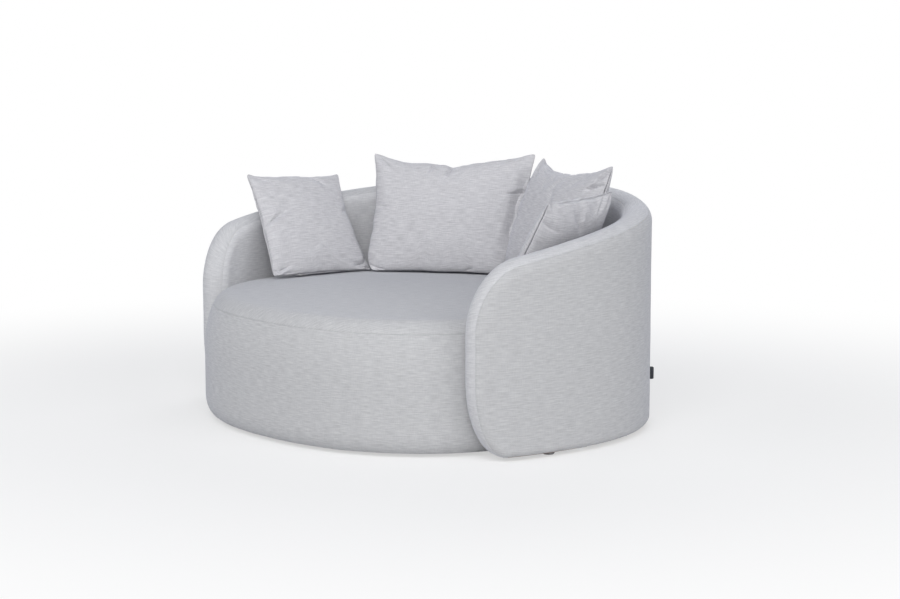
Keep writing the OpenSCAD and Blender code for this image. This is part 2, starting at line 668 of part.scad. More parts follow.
shell_bottom_rail();
shell_top_rail();
arm_front_strips();
shell_posts();
shell_inner_board();
shell_outer_board();
shell_inner_pad();
shell_outer_pad();
shell_edge_roll();
shell_inner_cover();
shell_outer_cover();
shell_edge_band();
shell_bottom_cloth();
fabric_tab();
seat_bottom_board();
seat_posts();
seat_top_ring();
seat_side_board();
webbing_across();
webbing_deep();
seat_foam();
seat_side_foam();
seat_top_cover();
seat_border();
seat_dust_cover();
seat_glides();
shell_glides();
glide_screws();
joining_plates();
plate_screws();
color("gainsboro") cushion_panel(left_cushion, 1);  // left_cushion_front
color("gainsboro") cushion_panel(left_cushion, -1);  // left_cushion_back
color("white") cushion_filling(left_cushion);  // left_cushion_filling
color("gray") cushion_zip(left_cushion);  // left_cushion_zip
color("silver") cushion_slider(left_cushion);  // left_cushion_slider
color("gainsboro") cushion_panel(middle_cushion, 1);  // middle_cushion_front
color("gainsboro") cushion_panel(middle_cushion, -1);  // middle_cushion_back
color("white") cushion_filling(middle_cushion);  // middle_cushion_filling
color("gray") cushion_zip(middle_cushion);  // middle_cushion_zip
color("silver") cushion_slider(middle_cushion);  // middle_cushion_slider
color("gainsboro") cushion_panel(rear_cushion, 1);  // rear_cushion_front
color("gainsboro") cushion_panel(rear_cushion, -1);  // rear_cushion_back
color("white") cushion_filling(rear_cushion);  // rear_cushion_filling
color("gray") cushion_zip(rear_cushion);  // rear_cushion_zip
color("silver") cushion_slider(rear_cushion);  // rear_cushion_slider
color("gainsboro") cushion_panel(right_cushion, 1);  // right_cushion_front
color("gainsboro") cushion_panel(right_cushion, -1);  // right_cushion_back
color("white") cushion_filling(right_cushion);  // right_cushion_filling
color("gray") cushion_zip(right_cushion);  // right_cushion_zip
color("silver") cushion_slider(right_cushion);  // right_cushion_slider
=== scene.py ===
import math

import bmesh
import bpy
import numpy as np
from bmesh.types import BMEdge, BMFace, BMVert
from mathutils import Matrix, Vector, noise


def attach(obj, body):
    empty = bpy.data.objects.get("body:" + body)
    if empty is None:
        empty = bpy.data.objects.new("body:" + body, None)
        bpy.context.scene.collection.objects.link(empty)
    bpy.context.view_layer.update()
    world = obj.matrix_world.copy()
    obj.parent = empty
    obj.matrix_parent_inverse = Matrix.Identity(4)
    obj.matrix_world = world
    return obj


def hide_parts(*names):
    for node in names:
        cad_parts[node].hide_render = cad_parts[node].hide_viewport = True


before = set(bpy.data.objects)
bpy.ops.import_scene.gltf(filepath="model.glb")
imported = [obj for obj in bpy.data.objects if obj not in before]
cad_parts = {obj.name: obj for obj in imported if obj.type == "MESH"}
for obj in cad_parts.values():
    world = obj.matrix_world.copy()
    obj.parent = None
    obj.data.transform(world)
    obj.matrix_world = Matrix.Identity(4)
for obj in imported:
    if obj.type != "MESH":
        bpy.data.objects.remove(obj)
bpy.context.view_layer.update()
scene = bpy.context.scene
MM = 0.001

# ---- camera
AZIMUTH, ELEVATION, PITCH = 49.2604, 8.3018, 7.9929
TARGET = Vector((0.0052, 0.1193, 0.34))
DISTANCE = 7.1825


def along(azimuth, elevation):
    """The direction from the object to a viewer at that azimuth and elevation, in degrees."""
    azimuth, elevation = math.radians(azimuth), math.radians(elevation)
    return Vector((math.sin(azimuth) * math.cos(elevation),
                   -math.cos(azimuth) * math.cos(elevation), math.sin(elevation)))


def new_object(name, data):
    made = bpy.data.objects.new(name, data)
    scene.collection.objects.link(made)
    return made


camera = new_object("camera", bpy.data.cameras.new("camera"))
camera.data.sensor_width, camera.data.lens = 36, 84.205
right = along(AZIMUTH + 90, 0)
away = along(AZIMUTH, PITCH)
camera.matrix_world = Matrix.Translation(TARGET + DISTANCE * along(AZIMUTH, ELEVATION)) @ \
    Matrix((right, away.cross(right), away)).transposed().to_4x4()
scene.camera = camera

# ---- materials


def colour(text):
    """An sRGB hex colour as the linear RGBA that a shader takes."""
    parts = [int(text[i:i + 2], 16) / 255 for i in (1, 3, 5)]
    return [p / 12.92 if p <= 0.04045 else ((p + 0.055) / 1.055) ** 2.4 for p in parts] + [1]


def add(tree, kind, inputs=(), **settings):
    """Adds a node with its settings. An input is a value, a socket that it is linked to, or a node
    whose first socket it is linked to."""
    made = tree.nodes.new("ShaderNode" + kind)
    for key, value in settings.items():
        setattr(made, key, value)
    for key, value in dict(inputs).items():
        if isinstance(value, bpy.types.Node):
            value = value.outputs[0]
        if isinstance(value, bpy.types.NodeSocket):
            tree.links.new(value, made.inputs[key])
        else:
            made.inputs[key].default_value = value
    return made


SHADER = "Principled BSDF"


def new_material(name, **sockets):
    """A material and its nodes. Its constants are set on the shader's own sockets."""
    made = bpy.data.materials.new(name)
    made.use_nodes = True
    for key, value in sockets.items():
        made.node_tree.nodes[SHADER].inputs[key.replace("_", " ")].default_value = value
    return made, made.node_tree


def waves(tree, at, pitch):
    """A sine wave along x, along y and along z, each of that pitch in metres."""
    turns = add(tree, "VectorMath", {0: at, "Scale": 2 * math.pi / pitch}, operation="SCALE")
    sines = add(tree, "VectorMath", {0: turns}, operation="SINE")
    return add(tree, "SeparateXYZ", {0: sines}).outputs


def coat(made, tone, span, colours, height, strength, depth):
    """Colours a material by its tone, from the first colour at the span's start to the last at its
    end, and gives it the relief of a height, that strong and so deep in metres."""
    tree = made.node_tree
    shader = tree.nodes[SHADER]
    ramp = add(tree, "ValToRGB", {0: tone})
    stops = ramp.color_ramp.elements
    stops[0].position, stops[1].position = span
    if len(colours) == 3:
        stops.new(sum(span) / 2)
    for stop, text in zip(stops, colours):
        stop.color = colour(text)
    bump = add(tree, "Bump", {"Height": height, "Strength": strength, "Distance": depth})
    tree.links.new(ramp.outputs[0], shader.inputs["Base Color"])
    tree.links.new(bump.outputs[0], shader.inputs["Normal"])
    return made


def woven_cloth(name, base, dark, light, slub=0.5, sheen=0.2):
    """Piece-dyed polyester with slubs: a dull, slightly hairy plain weave. Thick places in the weft
    show as short lighter and darker dashes along it, and the yarns give a fine grain."""
    made, tree = new_material(
        name, Roughness=0.94, Specular_IOR_Level=0.25, Sheen_Weight=sheen, Sheen_Roughness=0.45,
        Sheen_Tint=colour("#DEE5FF"))
    at = add(tree, "UVMap", uv_map="cloth")
    # the weft's slubs are 38 mm long and the warp's, which are fainter, 18 mm; their yarn is 1 mm
    # thick and is drawn 3.6 mm wide, so that it shows
    slubs = []
    for along_u, along_v in ((0.038, 0.0036), (0.0036, 0.018)):
        slub_at = add(tree, "VectorMath", {0: at, 1: (1 / along_u, 1 / along_v, 1)},
                      operation="MULTIPLY")
        slubs.append(add(tree, "TexNoise", {"Vector": slub_at, "Scale": 1, "Detail": 1},
                         noise_dimensions="2D"))
    dashes, bands = slubs
    # yarns of 0.9 mm, drawn 2.7 mm apart because finer ones vanish between the pixels
    warp, weft, _ = waves(tree, at, 0.0054)
    crossing = add(tree, "Math", {0: warp, 1: weft}, operation="MULTIPLY")
    # fibres that stand off the yarn, 1.6 mm
    fuzz = add(tree, "TexNoise", {"Vector": at, "Scale": 620, "Roughness": 0.6},
               noise_dimensions="2D")
    tone = 0
    for part, share in ((bands, 0.36 * slub), (dashes, slub), (fuzz, 0.08), (crossing, 0.015)):
        tone = add(tree, "Math", {0: part, 1: share, 2: tone}, operation="MULTIPLY_ADD")
    height = add(tree, "Math", {0: crossing, 1: 0.35, 2: dashes}, operation="MULTIPLY_ADD")
    middle = 0.68 * slub + 0.04
    return coat(made, tone, (middle - 0.17, middle + 0.17), (dark, base, light), height, 0.3,
                0.0012)


sofa_cloth = woven_cloth("woven_polyester_grey", "#C3C3C4", "#B8B8B9", "#CECECE")
# the edge band is the same cloth painted lighter, as a painted highlight along the rounded edge
painted_highlight_band_cloth = woven_cloth("woven_polyester_grey_band_painted_highlight", "#CECED0", "#C3C3C5", "#D9D9DA")
# the shell's inner face is the same cloth painted lighter, as painted light in its shaded hollow
painted_light_inner_cloth = woven_cloth("woven_polyester_grey_inner_painted_light", "#D9D9DB", "#CECED0", "#E4E4E5")
cushion_cloth = woven_cloth("woven_polyester_pale_grey", "#CDCCCF", "#BFBEC1", "#DBDADC")
# Polyester tape, dyed dark: close ribs along it, a little shine on their crests
tab_cloth = woven_cloth("woven_tape_charcoal", "#45474C", "#36383C", "#56585E", slub=0.3, sheen=0.1)

# Flexible polyurethane foam, cut from a block: matt and cream, with open cells that show as pits
# and with the faint waves of the cutting blade
foam, tree = new_material("polyurethane_foam", Roughness=0.95, Specular_IOR_Level=0.2,
                          Subsurface_Weight=0.1, Subsurface_Scale=0.004)
at = add(tree, "TexCoord").outputs["Object"]
# cells of 1 mm, drawn 3 mm across
cells = add(tree, "TexVoronoi", {"Vector": at, "Scale": 330})
blade = add(tree, "TexNoise", {"Vector": at, "Scale": 14, "Detail": 3})
tone = add(tree, "Math", {0: cells, 1: 0.5, 2: blade}, operation="MULTIPLY_ADD")
coat(foam, tone, (0.35, 0.95), ("#D9CBA0", "#EEE5C6"), cells, 0.5, 0.001)

# Blown polyester fibre in a spun bag: white, woolly, with tangled strands drawn 2 mm thick, in
# tufts 20 mm long
fibre, tree = new_material("polyester_fibre", Roughness=0.9, Specular_IOR_Level=0.2,
                           Sheen_Weight=0.3)
at = add(tree, "TexCoord").outputs["Object"]
strands = add(tree, "TexNoise", {"Vector": at, "Scale": 50, "Detail": 6, "Roughness": 0.7,
                                 "Distortion": 1.2})
coat(fibre, strands, (0.3, 0.7), ("#DEDDD8", "#F2F1EE"), strands, 0.6, 0.003)

# Poplar plywood, sawn and unsanded: rotary-cut faces with wide cathedral grain, and edges that
# show the plies as light and dark lines
plywood, tree = new_material("poplar_plywood", Roughness=0.72, Specular_IOR_Level=0.35)
at = add(tree, "TexCoord").outputs["Object"]
stretched = add(tree, "Mapping", {"Vector": at, "Scale": (3, 22, 22)})
grain = add(tree, "TexNoise", {"Vector": stretched, "Scale": 2, "Detail": 5, "Distortion": 0.8})
# plies of 1.5 mm, drawn 3 mm thick, where the board doesn't face up or down
normal = add(tree, "NewGeometry").outputs["Normal"]
facing = add(tree, "SeparateXYZ", {0: normal})
level = add(tree, "Math", {0: facing.outputs[2]}, operation="ABSOLUTE")
side = add(tree, "Math", {0: 1, 1: level}, operation="SUBTRACT")
lines = add(tree, "Math", {0: waves(tree, at, 0.006)[2], 1: side}, operation="MULTIPLY")
tone = add(tree, "Math", {0: lines, 1: 0.16, 2: grain}, operation="MULTIPLY_ADD")
coat(plywood, tone, (0.3, 0.72), ("#B58E5E", "#DCC096"), grain, 0.2, 0.0006)


def jute_material(name, axis):
    """Jute webbing, undyed and dull: coarse ribs across the strap, drawn 5 mm apart, and fine
    hairy yarns."""
    made, tree = new_material(name, Roughness=0.9, Specular_IOR_Level=0.2)
    at = add(tree, "TexCoord").outputs["Object"]
    yarns = add(tree, "TexNoise", {"Vector": at, "Scale": 400})
    tone = add(tree, "Math", {0: waves(tree, at, 0.005)[axis], 1: 0.2, 2: yarns},
               operation="MULTIPLY_ADD")
    return coat(made, tone, (0.3, 0.7), ("#7A5A36", "#A98A5E"), tone, 0.5, 0.0006)


def speckled(name, low, high, size, rough, **sockets):
    """A material whose only pattern is a grain of one size: pressed fibre, moulded or plated."""
    made, tree = new_material(name, **sockets)
    at = add(tree, "TexCoord").outputs["Object"]
    grain = add(tree, "TexNoise", {"Vector": at, "Scale": 1 / size, "Detail": 4, "Roughness": 0.6})
    spread = add(tree, "MapRange", {0: grain, "From Min": 0.3, "From Max": 0.7,
                                    "To Min": rough - 0.08, "To Max": rough + 0.08})
    tree.links.new(spread.outputs[0], tree.nodes[SHADER].inputs["Roughness"])
    return coat(made, grain, (0.35, 0.65), (low, high), grain, 0.3, 0.0003)


# Wet-pressed fibreboard: smooth, brown and flecked, 6 mm clouds
hardboard = speckled("pressed_hardboard", "#6B4A2C", "#8A6540", 0.006, 0.6, Specular_IOR_Level=0.4)
jute_deep = jute_material("jute_webbing_deep", 1)
jute_across = jute_material("jute_webbing_across", 0)
# Spunbonded polypropylene: black with a dull bloom, bonded at points 4 mm apart
black_cloth = speckled("spunbonded_cloth_black", "#1C1C1E", "#2F2F32", 0.004, 0.85,
                       Specular_IOR_Level=0.3, Sheen_Weight=0.15)
# Injection-moulded polypropylene: pale grey, satin from the mould's spark-eroded 1 mm texture
moulded = speckled("moulded_polypropylene", "#9C9CA0", "#ABABAF", 0.0012, 0.45, IOR=1.49)
# Zinc-plated mild steel: bright with a bluish passivated cloudiness in 8 mm spangles
zinc = speckled("zinc_plated_steel", "#A9AEB4", "#C6CAD0", 0.008, 0.34, Metallic=1.0)
# Nylon coil zip, dyed to match the cloth: a low shine on each turn
coil = speckled("nylon_coil_grey", "#A5A5AA", "#B9B9BE", 0.0015, 0.42, IOR=1.53)
# Die-cast zinc slider, tumbled and nickelled: soft highlights with 2 mm handling marks
nickel = speckled("nickelled_zinc_casting", "#A5A5A6", "#C4C4C6", 0.002, 0.28, Metallic=1.0)

# ---- the plan
HALF_W, BACK_D, FRONT_D = 760.0, 670.0, 720.0
BACK_SQUARE, FRONT_SQUARE = 2.15, 2.25
HALF_T, SEAT_IN = 50.0, 50.6
PLAN_Y = (FRONT_D - SEAT_IN - BACK_D - HALF_T) / 2


def plan_point(angle):
    """The middle line of the shell at an angle from the centre of the back, for +X."""
    turn = np.radians(angle)
    power = np.where(angle <= 90, BACK_SQUARE, FRONT_SQUARE)
    deep = np.where(angle <= 90, BACK_D, FRONT_D)
    c = np.cos(turn)
    return (HALF_W * np.abs(np.sin(turn)) ** (2 / power),
            PLAN_Y + deep * np.sign(c) * np.abs(c) ** (2 / power), power, deep)


def run_along(x, y):
    """How far a line has run at each of its points."""
    return np.concatenate([[0], np.cumsum(np.hypot(np.diff(x), np.diff(y)))])


ANGLES = np.linspace(0, 180, 1801)
LINE_X, LINE_Y, _, _ = plan_point(ANGLES)
RUN = run_along(LINE_X, LINE_Y)
PLAN_HALF = RUN[-1]


def place(s, t, z):
    """Points at s along the shell's middle line, t outwards from it and z up, in mm."""
    s, t, z = np.broadcast_arrays(*(np.asarray(q, float) for q in (s, t, z)))
    s = np.where(s > PLAN_HALF, s - 2 * PLAN_HALF, s)
    side = np.where(s < 0, -1.0, 1.0)
    angle = np.interp(np.abs(s), RUN, ANGLES)
    x, y, power, deep = plan_point(angle)
    gx = (x / HALF_W) ** (power - 1) / HALF_W * side
    gy = (np.abs(y - PLAN_Y) / deep) ** (power - 1) / deep * np.where(angle <= 90, 1, -1)
    size = np.hypot(gx, gy)
    return np.stack([x * side + gx / size * t, y + gy / size * t, z], -1)


def smooth_step(value, low, high):
    share = np.clip((value - low) / (high - low), 0, 1)
    return share * share * (3 - 2 * share)


def ripples(points, length, seed):
    """Smooth noise from -1 to 1 at points in mm, with waves of about that length."""
    return np.array([noise.noise(Vector(p) / length + Vector((seed, 3.7, 1.3)))
                     for p in points.reshape(-1, 3)]).reshape(points.shape[:-1])


HELD = 0.08  # what is left of a swell where the upholstery is held flat


def uneven(points, swells):
    """Slack and packing: swells of a height, a length and a seed each, in mm."""
    return sum(high * ripples(points, length, seed) for high, length, seed in swells)


# ---- meshes
def grid_mesh(u_stops, v_stops):
    """A flat grid whose columns stand at u_stops and whose rows lie at v_stops."""
    columns, rows = len(u_stops) - 1, len(v_stops) - 1
    bm = bmesh.new()
    bmesh.ops.create_grid(bm, x_segments=columns, y_segments=rows, size=1)
    tag_u, tag_v = (bm.verts.layers.float.new(n) for n in ("tag_u", "tag_v"))
    for v in bm.verts:
        v[tag_u] = np.interp((v.co.x + 1) / 2 * columns, np.arange(columns + 1), u_stops)
        v[tag_v] = np.interp((v.co.y + 1) / 2 * rows, np.arange(rows + 1), v_stops)
    return bm


def tags(bm, *names):
    """What a mesh's points are tagged with: an array for each name, or for u and v."""
    layers = [bm.verts.layers.float[n] for n in names or ("tag_u", "tag_v")]
    return np.array([[v[layer] for layer in layers] for v in bm.verts]).T


def of(kind, made):
    """The points, edges or faces in what an operation made."""
    return [part for part in made["geom"] if isinstance(part, kind)]


def doubled(bm):
    return bmesh.ops.duplicate(bm, geom=bm.verts[:] + bm.edges[:] + bm.faces[:])


def merge(bm, reach=1e-5):
    bmesh.ops.remove_doubles(bm, verts=bm.verts, dist=reach)


def even_faces(bm):
    bmesh.ops.recalc_face_normals(bm, faces=bm.faces)


def edge_ends(bm):
    """The indices of the points at one end of each edge, and at the other."""
    bm.verts.index_update()
    return np.array([[v.index for v in e.verts] for e in bm.edges]).T


def face_out(bm, middle, way=1):
    """Turns an open mesh over where need be, to look away from a middle in mm, or into it."""
    bm.normal_update()
    middle = Vector(middle) * MM
    if way * sum((f.calc_center_median() - middle).dot(f.normal) * f.calc_area()
                 for f in bm.faces) < 0:
        bmesh.ops.reverse_faces(bm, faces=bm.faces)


def set_places(bm, points_mm):
    for v, p in zip(bm.verts, points_mm * MM):
        v.co = p


def set_cloth_map(bm, flat_mm):
    """The cloth's own map in metres: its weft runs along u and its warp along v."""
    layer = bm.loops.layers.uv.new("cloth")
    bm.verts.index_update()
    for face in bm.faces:
        for loop in face.loops:
            loop[layer].uv = flat_mm[loop.vert.index] * MM


def to_object(bm, name):
    mesh = bpy.data.meshes.new(name)
    bm.to_mesh(mesh)
    return new_object(name, mesh)


def make_piece(bm, node, form, material, body="sofa", wall=0.0, sharp=None):
    """Turns a bmesh into a piece that rides on a body and stands for a CAD node."""
    piece = to_object(bm, node + form)
    bm.free()
    piece.data.materials.append(material)
    piece.data.shade_smooth()
    if sharp:
        piece.data.set_sharp_from_angle(angle=math.radians(sharp))
    if wall:
        solid = piece.modifiers.new("cloth thickness", "SOLIDIFY")
        solid.thickness, solid.offset = wall * MM, -1
    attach(piece, body)
    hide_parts(node)
    return piece


def make_cover(bm, node, cloth=sofa_cloth, way=1):
    """A cover of the sofa that looks away from the sofa's middle, or with -1 into it."""
    even_faces(bm)
    face_out(bm, (0, PLAN_Y, 250), way)
    make_piece(bm, node, "_cloth", cloth, wall=CLOTH_T)


def make_foam(bm, node, form="_foam"):
    """A foam of the sofa. What is still open in its mesh is closed."""
    merge(bm)
    bmesh.ops.holes_fill(bm, edges=[e for e in bm.edges if e.is_boundary], sides=0)
    even_faces(bm)
    make_piece(bm, node, form, foam)


# ---- the shell
ARM_REACH, BACK_H, ARM_H, TOP_FALL = 1525.0, 760.0, 585.0, 1.85
ARM_TOP_R, ARM_TOP_RISE, ARM_FOOT_R, ARM_FOOT_RISE = 160.0, 195.0, 120.0, 240.0
FOOT_R, FLOOR_GAP = 22.0, 10.0
# The outline's stations go up one arm's corner, along the top and down the other corner. The
# band's seams lie where the rounded edge leans that many degrees.
MAIN_STEPS, CORNER_STEPS = 14, 5
MID = MAIN_STEPS + CORNER_STEPS
LAST = 2 * MID
MAIN_L = ARM_REACH - ARM_TOP_R
INNER_SEAM, OUTER_SEAM = -50.0, 52.0
# How thick the cover is, and how deep below the cover's face the foams have theirs
CLOTH_T, PAD_SKIN = 1.5, 1.9
SHELL_SWELLS = ((0.9, 230, 1.0), (0.5, 95, 7.0))
SEAT_TO_FREE_Z = (430, 500)


def shell_at(station, rise, inset, foot_inset, t):
    """A point of the shell: a station of its outline, from 0 on the foot to 1 on the top, so
    far in from the outline and so far out from the middle line. Gives s, t and z."""
    corner = np.clip(np.abs(station - MID) - MAIN_STEPS, 0, CORNER_STEPS)
    main = MAIN_L * np.minimum(MAIN_STEPS, np.abs(station - MID)) / MAIN_STEPS
    turn = np.radians(90 * corner / CORNER_STEPS)
    top_s = main + (ARM_TOP_R - inset) * np.sin(turn)
    top_z = BACK_H - (BACK_H - ARM_H) * np.minimum(top_s / ARM_REACH, 1) ** TOP_FALL - inset \
        - (ARM_TOP_RISE - inset) * (1 - np.cos(turn))
    turn = np.radians(90 * np.maximum(0, corner - 1) / (CORNER_STEPS - 1))
    mix = inset + (foot_inset - inset) * np.cos(turn) ** 2
    foot_s = main + (ARM_TOP_R - ARM_FOOT_R) * np.minimum(corner, 1) \
        + (ARM_FOOT_R - mix) * np.sin(turn)
    foot_z = FLOOR_GAP + mix + (ARM_FOOT_RISE - mix) * (1 - np.cos(turn))
    side = np.where(station < MID, -1.0, 1.0)
    return side * (foot_s + (top_s - foot_s) * rise), t, foot_z + (top_z - foot_z) * rise


def shell_edge(station, rise, lean, deep):
    """A point of the shell's skin, deep below it. lean is -90 on the inside face, 0 on the
    crest of the rounded edge and 90 on the outside face."""
    lean = np.radians(lean)
    t = (HALF_T - deep) * np.sin(lean)
    inset = deep + (HALF_T - deep) * (1 - np.cos(lean))
    r = FOOT_R - deep
    over = np.maximum(0, np.abs(t) - (HALF_T - FOOT_R))
    foot_inset = deep + r - np.sqrt(np.maximum(0, r * r - over * over))
    return shell_at(station, rise, inset, foot_inset, t)


def shell_swell(points, lean):
    """How far the shell's upholstery stands proud. Where the seat lies against it, it is held."""
    free = np.where(lean < -45, smooth_step(points[:, 2], *SEAT_TO_FREE_Z), 1)
    return uneven(points, SHELL_SWELLS) * (HELD + (1 - HELD) * free)


def seam_groove(distance, reach, depth):
    """The cloth is pulled in towards a seam."""
    return depth * np.exp(-(distance / reach) ** 2)


def shell_points(bm, deep):
    station, rise, lean = tags(bm, "tag_u", "tag_v", "lean")
    nominal = place(*shell_edge(station, rise, lean, deep))
    pulled = seam_groove(lean - INNER_SEAM, 1.6, 0.15) + seam_groove(lean - OUTER_SEAM, 1.6, 0.4)
    return place(*shell_edge(station, rise, lean, deep + pulled - shell_swell(nominal, lean)))


def shell_cloth_map(bm):
    """Flat cloth on the faces of the shell, laid on over its rounded edges."""
    station, rise, lean = tags(bm, "tag_u", "tag_v", "lean")
    s0, _, z0 = shell_edge(station, rise, np.full_like(lean, 90), 0)
    s1, _, z1 = shell_edge(station, rise, np.zeros_like(lean), 0)
    away = np.stack([s1 - s0, z1 - z0], -1)
    away /= np.linalg.norm(away, axis=1)[:, None]
    girth = HALF_T * np.radians(90 - np.abs(lean))
    return np.stack([s0, z0], -1) + away * girth[:, None]


def shell_panel(deep, leans, closed=False):
    """One face of the shell with its edges rolled over: a grid, and rings drawn out from its
    border. A closed one has a second grid behind."""
    bm = grid_mesh(np.linspace(0, LAST, 4 * LAST + 1), np.linspace(0, 1, 27))
    lean = bm.verts.layers.float.new("lean")
    for v in bm.verts:
        v[lean] = leans[0]
    behind = set(of(BMVert, doubled(bm))) if closed else set()
    for v in behind:
        v[lean] = leans[-1]
    border = [e for e in bm.edges if e.is_boundary and not behind.intersection(e.verts)]
    for step in leans[1:]:
        drawn = bmesh.ops.extrude_edge_only(bm, edges=border)
        for v in of(BMVert, drawn):
            v[lean] = step
        border = [e for e in of(BMEdge, drawn) if e.is_boundary
                  and all(abs(v[lean] - step) < 1e-3 for v in e.verts)]
    set_cloth_map(bm, shell_cloth_map(bm))
    set_places(bm, shell_points(bm, deep))
    return bm


NEAR_SEAM = np.array([0.15, 1.2, 2.6, 4.2, 7, 12])
# the inner cover takes the cloth painted lighter as painted light in the shell's hollow
make_cover(shell_panel(0, [-90, -82, -74, -67] + list(INNER_SEAM - NEAR_SEAM[::-1])),
           "shell_inner_cover", painted_light_inner_cloth, way=-1)
make_cover(shell_panel(0, [90, 82, 74] + list(OUTER_SEAM + NEAR_SEAM[::-1])),
           "shell_outer_cover")
make_foam(shell_panel(PAD_SKIN, [-90, -82, -74, -66, -58, -53, -50, -47, -42, -33], closed=True),
          "shell_inner_pad")
make_foam(shell_panel(PAD_SKIN, [90, 82, 74, 66, 60, 56, 52], closed=True), "shell_outer_pad")

# The band runs up one arm's front, along the top and down the other. Chain place 0 is a little
# way up the foot of the left arm.
CHAIN_FOOT = CORNER_STEPS - 1
CHAIN_LAST = LAST + 2 * CHAIN_FOOT


def chain_tags(c):
    """The station and rise of a place along the chain."""
    stops = np.cumsum((-1, CHAIN_FOOT, 1, LAST, 1, CHAIN_FOOT))
    return (np.interp(c, stops, (CHAIN_FOOT, 0, 0, LAST, LAST, LAST - CHAIN_FOOT)),
            np.interp(c, stops, (0, 0, 1, 1, 0, 0)))


band_leans = [*(INNER_SEAM + NEAR_SEAM), *range(-32, 33, 6), *(OUTER_SEAM - NEAR_SEAM[::-1])]
bm = grid_mesh(np.linspace(-1, CHAIN_LAST + 1, 4 * (CHAIN_LAST + 2) + 1), band_leans)
on_chain, on_edge = (bm.verts.layers.float.new(n) for n in ("chain", "lean"))
tag_u, tag_v = (bm.verts.layers.float[n] for n in ("tag_u", "tag_v"))
for v in bm.verts:
    v[on_chain], v[on_edge] = v[tag_u], v[tag_v]
    v[tag_u], v[tag_v] = chain_tags(v[tag_u])
# the band is cut to the edge's own curve, so its weft stays level around the arms' corners
stops = np.linspace(-1, CHAIN_LAST + 1, 600)
s0, _, z0 = shell_edge(*chain_tags(stops), np.zeros(len(stops)), 0)
heading = np.unwrap(np.arctan2(np.gradient(s0), np.gradient(z0)))
chain, lean = tags(bm, "chain", "lean")
s1, z1, heading = (np.interp(chain, stops, k) for k in (s0, z0, heading))
across = HALF_T * np.radians(lean)
set_cloth_map(bm, np.stack([s1 + across * np.cos(heading), z1 - across * np.sin(heading)], -1))
set_places(bm, shell_points(bm, 0))
# the band takes the cloth painted lighter as a painted highlight along the edge
make_cover(bm, "shell_edge_band", painted_highlight_band_cloth)

# The foam roll under the band: a rounded front and a flat back, clear of the boards. Stops past 90
# aren't leans: they lie on its back, at the outer side, in the middle and at the inner side.
ROLL_BACK = PAD_SKIN + 33
ROLL_T = ((HALF_T - PAD_SKIN) * math.sin(math.radians(-30)) + 2.6,
          (HALF_T - PAD_SKIN) * math.sin(math.radians(OUTER_SEAM)) - 0.8)
BACK_T = {100: ROLL_T[1], 110: sum(ROLL_T) / 2, 120: ROLL_T[0]}
roll_leans = list(np.linspace(-28, 50, 14))
roll_stops = np.array([*roll_leans, *BACK_T, roll_leans[0]])
bm = grid_mesh(np.linspace(1, CHAIN_LAST - 1, 4 * (CHAIN_LAST - 2) + 1),
               np.arange(len(roll_stops)))
chain, row = tags(bm)
stops = roll_stops[np.round(row).astype(int)]
station, rise = chain_tags(chain)
leaning = np.where(stops < 90, stops, 0)
nominal = place(*shell_edge(station, rise, leaning, PAD_SKIN))
deep = PAD_SKIN - shell_swell(nominal, leaning)
radians = np.radians(leaning)
t = np.clip((HALF_T - deep) * np.sin(radians), *ROLL_T)
for stop, back_t in BACK_T.items():
    t = np.where(stops == stop, back_t, t)
inset = np.where(stops < 90, deep + (HALF_T - deep) * (1 - np.cos(radians)), ROLL_BACK)
foot = np.where(stops < 90, np.maximum(PAD_SKIN, deep), PAD_SKIN)
set_places(bm, place(*shell_at(station, rise, inset, foot, t)))
make_foam(bm, "shell_edge_roll")

# ---- the seat
SIDE_H, EDGE_RISE, EDGE_IN, SEAM_H, CROWN = 230.0, 190.0, 80.0, 380.0, 15.0
FOOT_IN, FOOT_RISE, HEM_W = 35.0, 65.0, 40.0
RING_TOP, SIDE_FOAM_BACK = 242.0, 35 + PAD_SKIN
FOAM_Z = RING_TOP + 3.6
SEAT_SWELLS = ((1.0, 260, 11.0), (0.6, 100, 17.0))
ARM_TO_FREE_S = (1490, 1580)


def edge_q(z):
    """The q at which the seat's rounded edge has come up to z."""
    return 3 + math.degrees(math.asin((z - SIDE_H) / EDGE_RISE)) / 90


SEAM_Q = edge_q(SEAM_H)
Q_LENGTH = 250  # the way to the seam, for one turn of q


def rounded(share, wide, high, deep):
    """A quarter of an ellipse, deep below its skin: how far in and how far up it has come."""
    turn = np.radians(90 * share)
    out_x, out_y = np.cos(turn) / wide, np.sin(turn) / high
    size = np.hypot(out_x, out_y)
    return wide * (1 - np.cos(turn)) + deep * out_x / size, \
        high * np.sin(turn) - deep * out_y / size


def seat_at(s, q, deep):
    """A point of the seat's skin, deep below it. q goes from 0 to 1 along the hem, to 2 round
    the foot, to 3 up the side, to 4 round the edge and to 5 in to the middle of the top."""
    foot_in, foot_up = rounded(1 - np.clip(q - 1, 0, 1), FOOT_IN, FOOT_RISE, deep)
    edge_in, edge_up = rounded(np.clip(q - 3, 0, 1), EDGE_IN, EDGE_RISE, deep)
    side_z = FLOOR_GAP + FOOT_RISE
    inset = np.where(q > 3, edge_in, foot_in + HEM_W * np.clip(1 - q, 0, 1))
    z = np.where(q > 3, SIDE_H + edge_up,
                 side_z - foot_up + (SIDE_H - side_z) * np.clip(q - 2, 0, 1))
    points = place(s, -SEAT_IN - inset, z)
    share = np.clip(5 - q, 0, 1)
    points[:, :2] = (0, PLAN_Y) + (points[:, :2] - (0, PLAN_Y)) * share[:, None]
    points[:, 2] += CROWN * (1 - share ** 2)
    return points


